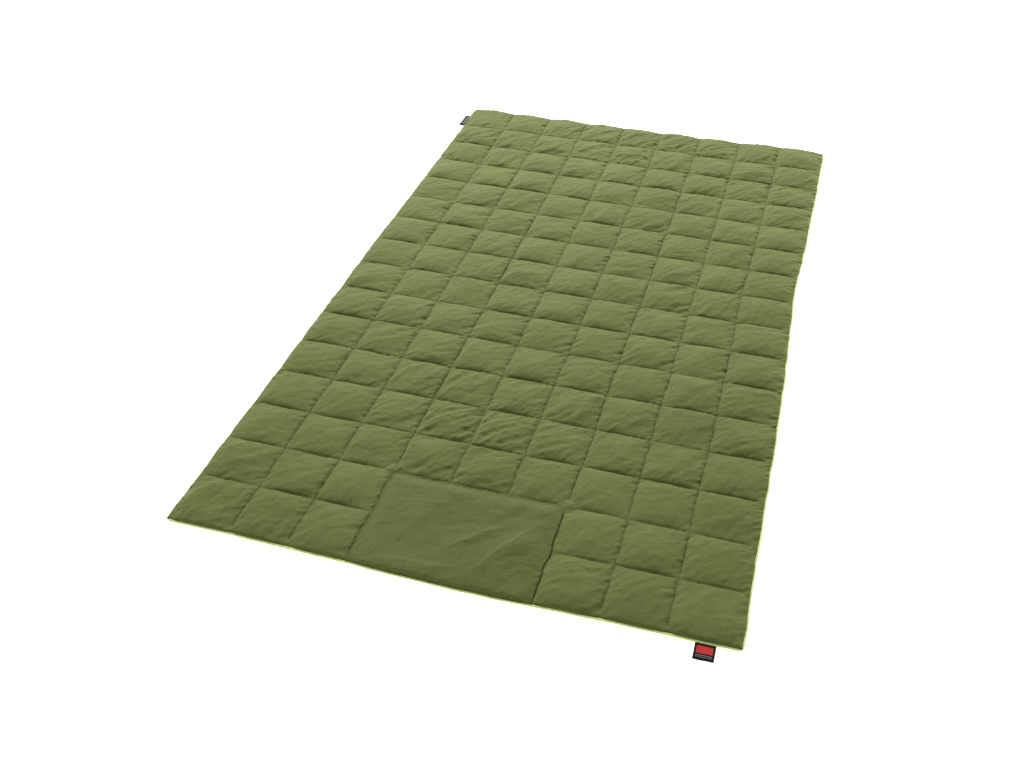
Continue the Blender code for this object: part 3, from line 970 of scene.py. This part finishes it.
def quilt_shade(tree, coordinates):
    """Painted shade along the pinched lines of the quilting, darker along the columns, where the gathers
    break it up.
    """
    parts = axes(tree, coordinates)
    columns, rows = seam_distances(tree, coordinates)
    from_side = calc(tree, "SUBTRACT", EDGE_X - SEAM_END, calc(tree, "ABSOLUTE", parts[0]))
    from_end = calc(tree, "SUBTRACT", EDGE_Y - SEAM_END, calc(tree, "ABSOLUTE", parts[1]))
    inside = calc(tree, "GREATER_THAN", calc(tree, "MINIMUM", from_side, from_end), 0.0)
    corner_x = calc(tree, "SUBTRACT", calc(tree, "ABSOLUTE", parts[0]), POCKET_X)
    corner_y = calc(tree, "SUBTRACT", parts[1], POCKET_Y)
    corner = node(tree, "ShaderNodeCombineXYZ", {0: corner_x, 1: corner_y}).outputs[0]
    from_corner = vector(tree, "LENGTH", {0: corner}, "Value")
    inside = calc(tree, "MULTIPLY", inside, calc(tree, "GREATER_THAN", from_corner, 0.012))
    # Painted shade in the pinch of each column seam, uneven in depth
    uneven = mapped(tree, texture(tree, coordinates, PUCKER_SIZE), 0.36, 0.62, 0.0, COLUMN_SHADE)
    column_line = painted_shade_line(tree, columns, SHADE_WIDTH, calc(tree, "MULTIPLY", uneven, inside))
    row_line = painted_shade_line(tree, rows, SHADE_WIDTH, calc(tree, "MULTIPLY", inside, ROW_SHADE))
    return calc(tree, "MULTIPLY", column_line, row_line)


def lining_shade(tree, coordinates):
    """Painted shade along the lines of the quilting on the lining, even and faint, since it is pulled flat.
    """
    columns, rows = seam_distances(tree, coordinates)
    column_line = painted_shade_line(tree, columns, LINING_SHADE_WIDTH, LINING_SHADE)
    row_line = painted_shade_line(tree, rows, LINING_SHADE_WIDTH, LINING_SHADE)
    return calc(tree, "MULTIPLY", column_line, row_line)


def pocket_shade(tree, coordinates):
    """Painted shade along the pinched line round the pocket's sewn edge."""
    parts = axes(tree, coordinates)
    from_side = calc(tree, "SUBTRACT", POCKET_BOX[1].x, calc(tree, "ABSOLUTE", parts[0]))
    from_top = calc(tree, "SUBTRACT", POCKET_BOX[1].y, parts[1])
    distance = calc(tree, "MINIMUM", from_side, from_top)
    return painted_shade_line(tree, distance, POCKET_SHADE_WIDTH, POCKET_SHADE)


def crease_lines(tree, coordinates):
    """Height, from 0 to 1, of fine creases: sharp lines in three directions, each in its own patches."""
    total = 0.0
    for degrees, size, place in ((-50, 0.018, 3.1), (-15, 0.022, 7.7), (-85, 0.015, 12.9)):
        turn = {"Location": (place, -place, 0), "Rotation": (0, 0, math.radians(degrees))}
        turned = node(tree, "ShaderNodeMapping", {"Vector": coordinates, **turn}).outputs[0]
        long = vector(tree, "MULTIPLY", {0: turned, 1: (0.30, 1.0, 1.0)})
        line = sharp_ridge(tree, texture(tree, long, size, detail=1.5, distortion=0.25))
        patch = mapped(tree, texture(tree, turned, 0.10), 0.36, 0.58, kind="SMOOTHSTEP")
        total = calc(tree, "MULTIPLY_ADD", line, patch, total)
    return total


def mixed(tree, first, second, factor):
    inputs = {"Factor": factor, "A": first, "B": second}
    return node(tree, "ShaderNodeMix", inputs, data_type="RGBA").outputs["Result"]


def blend_colour(tree, dark, light, factor):
    return mixed(tree, (*dark, 1.0), (*light, 1.0), factor)


def weighted(tree, pairs):
    """The sum of values, each times its weight."""
    total = 0.0
    for socket, weight in pairs:
        total = calc(tree, "MULTIPLY_ADD", socket, weight, total)
    return total


def dress(tree, shader, colour, relief, roughness, specular=0.5, sheen=0.0):
    """Gives a material its colour, its relief as (height from 0 to 1, depth in metres), and its shine."""
    bump = {"Strength": 1.0, "Distance": 1.0, "Height": weighted(tree, relief)}
    inputs = {
        "Base Color": colour,
        "Normal": node(tree, "ShaderNodeBump", bump).outputs[0],
        "Roughness": roughness,
        "Specular IOR Level": specular,
        "Sheen Weight": sheen,
    }
    wire(tree, shader, inputs)


def fabric(name, dark, light, pitch, roughness, sheen, sheen_tint, crease_depth, pucker_depth, shade):
    """Woven cloth: mottled colour darkened by painted shade along the seams, crossing threads, fine creases
    and gathers along the seams.
    """
    material, tree, shader, coordinates = new_material(name)
    slow = texture(tree, coordinates, 0.30)
    brushed = texture(tree, coordinates, 0.030, detail=4.0, distortion=0.7)
    fuzz = texture(tree, coordinates, 0.0016, detail=3.0)
    weave = threads(tree, coordinates, pitch)
    mottle = weighted(tree, [(slow, 0.55), (brushed, 0.45), (fuzz, 0.80), (weave, 0.15)])
    level = mapped(tree, mottle, 0.62, 1.28, kind="SMOOTHSTEP")
    colour = blend_colour(tree, dark, light, level)
    # The colour darkened by painted shade along the seams
    colour = vector(tree, "SCALE", {0: colour, "Scale": shade(tree, coordinates)})
    creases = (crease_lines(tree, coordinates), crease_depth)
    puckers = (seam_puckers(tree, coordinates), pucker_depth)
    relief = [creases, puckers, (weave, WEAVE_DEPTH), (fuzz, WEAVE_DEPTH)]
    rough = mapped(tree, fuzz, 0.0, 1.0, roughness - 0.07, roughness + 0.05)
    dress(tree, shader, colour, relief, rough, specular=0.25, sheen=sheen)
    wire(tree, shader, {"Sheen Roughness": 0.45, "Sheen Tint": (*sheen_tint, 1.0)})
    return material


BRUSHED = {"pitch": 0.00055, "roughness": 0.90, "sheen": 0.35, "sheen_tint": (0.80, 0.95, 0.42)}

face_cloth = fabric(
    "olive_brushed_cloth",
    **BRUSHED,
    dark=(0.0795, 0.0968, 0.0192),
    light=(0.1055, 0.1246, 0.0298),
    crease_depth=0.0008,
    pucker_depth=0.0009,
    shade=quilt_shade,
)
# The face's brushed cloth, painted darker as shade on the pocket
pocket_cloth = fabric(
    "olive_brushed_cloth_pocket_shaded_darker",
    **BRUSHED,
    dark=(0.0670, 0.0823, 0.0158),
    light=(0.0890, 0.1072, 0.0240),
    crease_depth=0.0009,
    pucker_depth=0.0,
    shade=pocket_shade,
)
lining_cloth = fabric(
    "lining_taffeta",
    dark=(0.092, 0.122, 0.030),
    light=(0.128, 0.164, 0.046),
    pitch=0.0007,
    roughness=0.72,
    sheen=0.10,
    sheen_tint=(0.85, 1.0, 0.50),
    crease_depth=0.0005,
    pucker_depth=0.0002,
    shade=lining_shade,
)


def piping_material():
    material, tree, shader, coordinates = new_material("lime_bias_binding")
    twill = diagonal_ribs(tree, coordinates, 0.0007)
    patches = texture(tree, coordinates, 0.012, detail=3.0)
    level = weighted(tree, [(twill, 0.35), (patches, 0.8)])
    colour = blend_colour(tree, (0.50, 0.62, 0.18), (0.66, 0.78, 0.32), level)
    relief = [(twill, 0.00012), (patches, 0.0006)]
    rough = mapped(tree, twill, 0.0, 1.0, 0.75, 0.90)
    dress(tree, shader, colour, relief, rough, specular=0.15, sheen=0.15)
    return material


def thread_material():
    material, tree, shader, coordinates = new_material("sewing_thread")
    twist = diagonal_ribs(tree, coordinates, 0.0005)
    lint = texture(tree, coordinates, 0.004)
    level = weighted(tree, [(twist, 0.5), (lint, 0.5)])
    colour = blend_colour(tree, (0.040, 0.052, 0.012), (0.080, 0.098, 0.026), level)
    rough = mapped(tree, lint, 0.0, 1.0, 0.75, 0.95)
    dress(tree, shader, colour, [(twist, 0.00008)], rough, specular=0.08)
    return material


def wadding_material():
    material, tree, shader, coordinates = new_material("hollow_fibre_wadding")
    fibres = texture(tree, coordinates, 0.004, detail=5.0, distortion=2.0)
    clumps = texture(tree, coordinates, 0.03, detail=2.0)
    colour = blend_colour(tree, (0.72, 0.72, 0.68), (0.88, 0.88, 0.85), fibres)
    dress(tree, shader, colour, [(fibres, 0.0009), (clumps, 0.001)], 0.95, sheen=0.3)
    return material


def between(tree, value, low, high):
    """1 where a value lies between two limits, and 0 elsewhere."""
    above = calc(tree, "GREATER_THAN", value, low)
    return calc(tree, "MULTIPLY", above, calc(tree, "LESS_THAN", value, high))


def label_material(name, half_width, patch, lines):
    """Woven label: black satin ribs, with a plain red patch and two pale lines at places along it."""
    material, tree, shader, coordinates = new_material(name)
    parts = axes(tree, coordinates)
    satin = ribs(tree, parts[1], 0.0006)
    wear = texture(tree, coordinates, 0.006, detail=3.0)
    level = weighted(tree, [(satin, 0.5), (wear, 0.5)])
    black = blend_colour(tree, (0.003, 0.003, 0.003), (0.010, 0.010, 0.011), level)
    red = blend_colour(tree, (0.400, 0.022, 0.018), (0.520, 0.042, 0.034), level)
    pale = blend_colour(tree, (0.20, 0.20, 0.20), (0.34, 0.34, 0.33), level)
    inset = calc(tree, "LESS_THAN", calc(tree, "ABSOLUTE", parts[0]), half_width)
    colour = black
    for (low, high), paint in [(patch, red)] + [(line, pale) for line in lines]:
        inside = calc(tree, "MULTIPLY", between(tree, parts[1], low, high), inset)
        colour = mixed(tree, colour, paint, inside)
    rough = mapped(tree, wear, 0.0, 1.0, 0.78, 0.92)
    dress(tree, shader, colour, [(satin, 0.00010), (wear, 0.00015)], rough, specular=0.12)
    return material


piping_cloth = piping_material()
thread = thread_material()
wadding_fibre = wadding_material()


# ---------------------------------------------------------------- quilt pieces


def add_cover(name, side, points, flat, material, slot, node_name, flip=False):
    piece = grid_mesh(f"{name}_{side}", settle(points), flat, flip=flip)
    return finish_piece(piece, material, f"{node_name}_{side}", side)


def add_face(side):
    sheet = (face_points[side], face_flat[side])
    return add_cover("face", side, *sheet, face_cloth, "face_fabric", "face_cover")


def add_lining_cloth(side):
    sheet = (lining_points[side], lining_flat[side])
    return add_cover("underside", side, *sheet, lining_cloth, "lining_fabric", "lining", flip=True)


def window_extreme(values, every, reach, pick):
    """The lowest or highest of the values round every so-manyth grid point."""
    padded = np.pad(values, reach, mode="edge")
    rows, columns = values.shape
    kept = None
    for i in range(2 * reach + 1):
        for j in range(2 * reach + 1):
            part = padded[i : i + rows, j : j + columns][::every, ::every]
            kept = part if kept is None else pick(kept, part)
    return kept


def add_wadding(side):
    """The fill between the covers, clear of both."""
    over = window_extreme(face_points[side][..., 2], EVERY, 2, np.minimum)
    under = window_extreme(lining_points[side][..., 2], 1, 1, np.maximum)
    flat = lining_flat[side]
    at_fold = hump(np.abs(flat[..., 0]), (FOLD_FROM + FOLD_TO) / 2, 0.014)
    top = over - WADDING_UNDER_FACE - WADDING_UNDER_FACE_AT_FOLD * at_fold
    bottom = under + WADDING_OVER_LINING + WADDING_OVER_LINING_AT_FOLD * at_fold
    middle = (over + under) / 2
    thin = top < bottom + WADDING_THINNEST
    top = np.where(thin, middle + WADDING_THINNEST / 2, top)
    bottom = np.where(thin, middle - WADDING_THINNEST / 2, bottom)
    limit = np.array([EDGE_X, EDGE_Y]) - WADDING_INSET
    shrunk = np.clip(flat, -limit, limit)
    upper = settle(np.dstack([shrunk, top]))
    lower = settle(np.dstack([shrunk, bottom]))
    rows, columns = top.shape
    index = numbered(rows, columns)
    below = numbered(rows, columns, rows * columns)
    rim = np.concatenate([index[0, :-1], index[:-1, -1], index[-1, :0:-1], index[:0:-1, 0]])
    rim_next = np.roll(rim, -1)
    walls = np.stack([rim, rim + rows * columns, rim_next + rows * columns, rim_next], -1)
    faces = np.concatenate([quads_of(index), quads_of(below[::-1]), walls])
    points = np.concatenate([upper.reshape(-1, 3), lower.reshape(-1, 3)])
    uv = np.concatenate([flat.reshape(-1, 2), flat.reshape(-1, 2)])[faces.ravel()]
    piece = raw_mesh(f"fill_{side}", points, faces, uv)
    return finish_piece(piece, wadding_fibre, f"wadding_{side}", side)


def lengths_along(path):
    """The distance from a path's start to each of its points."""
    return np.concatenate([[0], np.cumsum(np.linalg.norm(np.diff(path, axis=0), axis=1))])


def tube(name, path, radius, sides, seed):
    """A tube along a level path, given in flat places with its height, shifted as the blanket lies."""
    centre = settle(path)
    ahead = np.gradient(centre[:, :2], axis=0)
    ahead /= np.linalg.norm(ahead, axis=1, keepdims=True)
    outwards = np.stack([ahead[:, 1], -ahead[:, 0]], -1)
    lengths = lengths_along(path[:, :2])
    angle = np.linspace(0, 2 * np.pi, sides + 1)
    s, a = np.meshgrid(lengths, angle, indexing="ij")
    thickness = radius * (1 + 0.07 * noise_field(s, a * 0.004, 0.012, seed))
    points = np.empty((len(path), sides + 1, 3))
    points[..., 0] = centre[:, None, 0] + outwards[:, None, 0] * np.cos(a) * thickness
    points[..., 1] = centre[:, None, 1] + outwards[:, None, 1] * np.cos(a) * thickness
    points[..., 2] = centre[:, None, 2] + np.sin(a) * thickness
    return grid_mesh(name, points, np.stack([a * radius, s], -1), wrap=True)


def even_path(corners, step):
    """Points an even step apart along a polyline."""
    corners = np.array(corners, float)
    along = lengths_along(corners)
    count = max(2, round(along[-1] / step))
    places = np.linspace(0, along[-1], count + 1)
    return np.stack([np.interp(places, along, corners[:, k]) for k in range(corners.shape[1])], -1)


def arc(centre, radius, start, end, steps):
    angles = np.radians(np.linspace(start, end, steps + 1))
    return [(centre[0] + radius * math.cos(a), centre[1] + radius * math.sin(a), PIPING_Z) for a in angles]


def piping_paths():
    """The corners of the piping's path along each side of the blanket."""
    side_x = HALF_WIDTH - PIPING_RADIUS
    end_y = HALF_LENGTH - PIPING_RADIUS
    corner_x = side_x - CORNER_RADIUS
    corner_y = end_y - CORNER_RADIUS
    split = COLUMN_SEAMS[6]
    right = [(split, -end_y, PIPING_Z)]
    right += arc((corner_x, -corner_y), CORNER_RADIUS, -90, 0, 8)
    right += arc((corner_x, corner_y), CORNER_RADIUS, 0, 90, 8)
    right.append((split, end_y, PIPING_Z))
    left = [(-x + LEFT_PIPING_INSET * smooth(x / 0.2 - 2), y, z) for x, y, z in reversed(right)]
    near = [(-split, -end_y, PIPING_Z), (split, -end_y, PIPING_Z)]
    far = [(split, end_y, PIPING_Z), (-split, end_y, PIPING_Z)]
    return {"left": left, "near": near, "right": right, "far": far}


def add_piping(name, corners, seed):
    side = name if name in ("left", "right") else "middle"
    path = even_path(corners, PIPING_STEP)
    sleeve = tube(f"binding_{name}", path, PIPING_RADIUS, PIPING_SIDES, seed)
    finish_piece(sleeve, piping_cloth, f"piping_{name}", side)
    core = tube(f"binding_cord_{name}", path, CORE_RADIUS, CORE_SIDES, seed + 5)
    finish_piece(core, wadding_fibre, f"piping_core_{name}", side)


def stitch_line(points, height):
    """Centres and directions of the stitches along a line of flat points."""
    path = even_path(points, 0.001)
    along = lengths_along(path)
    starts = np.arange(STITCH_PITCH / 2, along[-1] - STITCH_LENGTH, STITCH_PITCH)
    ends = starts + STITCH_LENGTH
    line = [np.stack([np.interp(t, along, path[:, k]) for k in (0, 1)], -1) for t in (starts, ends)]
    return [np.column_stack([part, height(part[:, 0], part[:, 1])]) for part in line]


def stitch_mesh(name, lines):
    """One small tapered loop of thread for every stitch."""
    starts = settle(np.concatenate([line[0] for line in lines]))
    ends = settle(np.concatenate([line[1] for line in lines]))
    ahead = ends - starts
    ahead /= np.linalg.norm(ahead, axis=1, keepdims=True)
    across = np.cross(ahead, (0.0, 0.0, 1.0))
    across /= np.linalg.norm(across, axis=1, keepdims=True)
    up = np.cross(across, ahead)
    rings = []
    for share, lift in ((0.28, 0.0002), (0.72, 0.0002)):
        centre = starts + (ends - starts) * share + up * lift
        for side, rise in ((-1, 0), (0, -0.8), (1, 0), (0, 0.8)):
            rings.append(centre + STITCH_RADIUS * (across * side + up * rise))
    points = np.stack([starts - up * 0.0003, *rings, ends - up * 0.0003], axis=1)
    triangles = []
    for k in range(4):
        n = (k + 1) % 4
        triangles += [(0, 1 + k, 1 + n), (1 + k, 5 + k, 5 + n), (1 + k, 5 + n, 1 + n), (9, 5 + n, 5 + k)]
    count = len(points)
    faces = (np.array(triangles)[None] + 10 * np.arange(count)[:, None, None]).reshape(-1, 3)
    shape = np.array([0, 0.3, 0.3, 0.3, 0.3, 0.7, 0.7, 0.7, 0.7, 1]) * STITCH_LENGTH
    turn = np.array([0, 0, 1, 2, 3, 0, 1, 2, 3, 0]) * STITCH_RADIUS
    uv = np.stack([np.tile(turn, count), np.tile(shape, count)], -1)
    uv[:, 1] += np.repeat(np.arange(count) * 0.0137, 10)
    return raw_mesh(name, points.reshape(-1, 3), faces, uv[faces.ravel()])


def face_thread_height(x, y):
    return face_base(x, y) + STITCH_LIFT


def add_quilt_stitches(side):
    first, last = SPANS[side]
    lines = []
    reach_x = EDGE_X - SEAM_END
    reach_y = EDGE_Y - SEAM_END
    columns = {"left": (1, 2, 3), "middle": (4, 5), "right": (6, 7, 8)}[side]
    for column in columns:
        x = COLUMN_SEAMS[column]
        low = POCKET_Y if side == "middle" else -reach_y
        lines.append(stitch_line([(x, low), (x, reach_y)], face_thread_height))
    low = max(COLUMN_SEAMS[first], -reach_x)
    high = min(COLUMN_SEAMS[last], reach_x)
    for row in range(1, ROWS):
        if side == "middle" and row < POCKET_ROWS:
            continue
        y = ROW_SEAMS[row]
        lines.append(stitch_line([(low, y), (high, y)], face_thread_height))
    piece = stitch_mesh(f"stitches_{side}", lines)
    finish_piece(piece, thread, f"quilt_stitching_{side}", side)


def add_pocket():
    piece = grid_mesh("pocket_cloth", settle(pocket_points), pocket_flat)
    thicken(piece, POCKET_CLOTH, offset=-1.0)
    return finish_piece(piece, pocket_cloth, "pocket_panel", "middle")


def pocket_height(x, y):
    """Height of the simulated pocket cloth at flat places, by the nearest grid point."""
    xs = pocket_flat[0, :, 0]
    ys = pocket_flat[:, 0, 1]
    column = np.clip(np.searchsorted(xs, x), 1, len(xs) - 1)
    row = np.clip(np.searchsorted(ys, y), 1, len(ys) - 1)
    fx = np.clip((x - xs[column - 1]) / (xs[column] - xs[column - 1]), 0, 1)
    fy = np.clip((y - ys[row - 1]) / (ys[row] - ys[row - 1]), 0, 1)
    z = pocket_points[..., 2]
    low = z[row - 1, column - 1] * (1 - fx) + z[row - 1, column] * fx
    high = z[row, column - 1] * (1 - fx) + z[row, column] * fx
    return low * (1 - fy) + high * fy + STITCH_LIFT


def add_pocket_stitches():
    half = POCKET_BOX[1].x - 0.002
    top = POCKET_BOX[1].y - 0.002
    mouth = POCKET_BOX[0].y - POCKET_MOUTH_REACH
    radius = POCKET_CORNER - 0.002
    outline = [(-half, mouth + 0.001)]
    outline += [(x, y) for x, y, _ in arc((-half + radius, top - radius), radius, 180, 90, 8)]
    outline += [(x, y) for x, y, _ in arc((half - radius, top - radius), radius, 90, 0, 8)]
    outline.append((half, mouth + 0.001))
    seam = stitch_mesh("pocket_seam_stitches", [stitch_line(outline, pocket_height)])
    finish_piece(seam, thread, "pocket_seam_stitching", "middle")
    y = mouth + HEM_DEPTH
    hem = stitch_mesh("pocket_hem_stitches", [stitch_line([(-half, y), (half, y)], pocket_height)])
    finish_piece(hem, thread, "pocket_hem_stitching", "middle")


def label_profile(length):
    """The strip from the side, as (out, up): out along the ground, round its fold and back to the
    seam, where the piping lifts both ends."""
    gap = LABEL_GAP
    tip = length - gap / 2
    profile = [(-LABEL_SEWN_IN, 0.0010), (0.0, 0.0008), (0.006, 0.0005)]
    profile += [(tip * k / 10, LABEL_GROUND + 0.0002 * math.sin(k * 0.9)) for k in range(3, 10)]
    for step in range(9):
        angle = math.radians(-90 + 180 * step / 8)
        up = LABEL_GROUND + gap / 2 + gap / 2 * math.sin(angle)
        profile.append((tip + gap / 2 * math.cos(angle), up))
    for k in range(9, 1, -1):
        profile.append((tip * k / 10, LABEL_GROUND + gap + 0.0006 * math.sin(math.pi * k / 10)))
    profile += [(0.003, 0.0021), (0.0, 0.0021), (-LABEL_SEWN_IN, 0.0019)]
    return even_path(profile, LABEL_STEP)


def add_label(name, node_name, outwards, material):
    """A strip folded double, its two ends sewn in under the piping and its fold free."""
    low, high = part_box(node_name)
    centre = (low + high) / 2
    outwards = Vector(outwards)
    across = Vector((-outwards.y, outwards.x, 0.0))
    size = high - low
    length = abs(size.dot(outwards))
    width = abs(size.dot(across))
    root = centre - outwards * length / 2
    path = label_profile(length)
    columns = max(10, round(width / LABEL_COLUMN))
    t = np.linspace(-0.5, 0.5, columns + 1)
    lengths = lengths_along(path)
    out, side = np.meshgrid(path[:, 0], t * width, indexing="ij")
    up = path[:, 1][:, None] * np.ones_like(side)
    reach = np.clip(out / length, 0, 1)
    up += LABEL_CURL * reach**2 * (0.5 + t[None] * 1.1) ** 2
    up += LABEL_RIPPLE * reach * np.sin(side * 260)
    points = np.empty((*out.shape, 3))
    for k in range(3):
        points[..., k] = root[k] + outwards[k] * out + across[k] * side
    points[..., 2] = up
    flat = np.stack([side, lengths[:, None] * np.ones_like(side)], -1)
    piece = grid_mesh(name, points, flat)
    thicken(piece, LABEL_CLOTH, offset=0.0)
    finish_piece(piece, material, node_name)
    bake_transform(piece)
    return piece, width, float(lengths[-1])


faces = {side: add_face(side) for side in SPANS}
linings = {side: add_lining_cloth(side) for side in SPANS}
fills = {side: add_wadding(side) for side in SPANS}
for seed, (name, corners) in enumerate(piping_paths().items(), start=71):
    add_piping(name, corners, seed)
for side in SPANS:
    add_quilt_stitches(side)
pocket = add_pocket()
add_pocket_stitches()

front_lines = [(0.0515, 0.0525), (0.0480, 0.0488)]
side_lines = [(0.0345, 0.0375), (0.0290, 0.0300)]
front_black = label_material("front_label_weave", 0.0155, (0.0565, 0.0745), front_lines)
side_black = label_material("side_label_weave", 0.0300, (0.0, 0.0), side_lines)
labels = [
    add_label("front_label_cloth", "front_label", (0, -1, 0), front_black),
    add_label("side_label_cloth", "side_label", (-1, 0, 0), side_black),
]


# ---------------------------------------------------------------- stage, light and camera


def add_floor():
    half = FLOOR_HALF
    points = np.array([[(-half, -half, 0), (half, -half, 0)], [(-half, half, 0), (half, half, 0)]], float)
    floor = grid_mesh("floor", points, points[..., :2])
    material = bpy.data.materials.new("floor_white")
    material.use_nodes = True
    paint = {
        "Base Color": (FLOOR_WHITE, FLOOR_WHITE, FLOOR_WHITE, 1.0),
        "Roughness": 0.9,
        "Specular IOR Level": 0.0,
        "Emission Color": (1.0, 1.0, 1.0, 1.0),
        "Emission Strength": 1.0,
    }
    wire(material.node_tree, material.node_tree.nodes["Principled BSDF"], paint)
    floor.data.materials.append(material)


def add_area_light(name, place, size, power):
    """A round lamp that shines on the middle of the blanket."""
    light = bpy.data.lights.new(name, "AREA")
    light.shape = "DISK"
    light.size = size
    light.energy = power
    lamp = bpy.data.objects.new(name, light)
    bpy.context.scene.collection.objects.link(lamp)
    turn = (-Vector(place)).to_track_quat("-Z", "Y").to_matrix()
    lamp.matrix_world = Matrix.Translation(place) @ turn.to_4x4()


def add_camera():
    data = bpy.data.cameras.new("camera")
    data.lens = CAMERA_LENS
    data.sensor_width = SENSOR_WIDTH
    data.clip_end = 100
    camera = bpy.data.objects.new("camera", data)
    bpy.context.scene.collection.objects.link(camera)
    turn = Matrix.Rotation(math.radians(-CAMERA_AZIMUTH), 4, "Z")
    turn = turn @ Matrix.Rotation(math.radians(90 - CAMERA_ELEVATION), 4, "X")
    turn = turn @ Matrix.Rotation(math.radians(CAMERA_ROLL), 4, "Z")
    camera.matrix_world = Matrix.Translation(CAMERA_PLACE) @ turn
    bpy.context.scene.camera = camera


def add_world():
    world = bpy.data.worlds.new("studio")
    world.use_nodes = True
    tree = world.node_tree
    direction = node(tree, "ShaderNodeTexCoord").outputs["Generated"]
    height = node(tree, "ShaderNodeSeparateXYZ", {0: direction}).outputs[2]
    strength = mapped(tree, height, *HORIZON_BAND, HORIZON_LIGHT, SKY_LIGHT, kind="SMOOTHSTEP")
    wire(tree, tree.nodes["Background"], {"Color": (1.0, 1.0, 1.0, 1.0), "Strength": strength})
    bpy.context.scene.world = world


add_floor()
add_world()
for name, position, size, power in LIGHTS:
    add_area_light(name, position, size, power)
add_camera()
bpy.context.scene.view_settings.view_transform = "Standard"
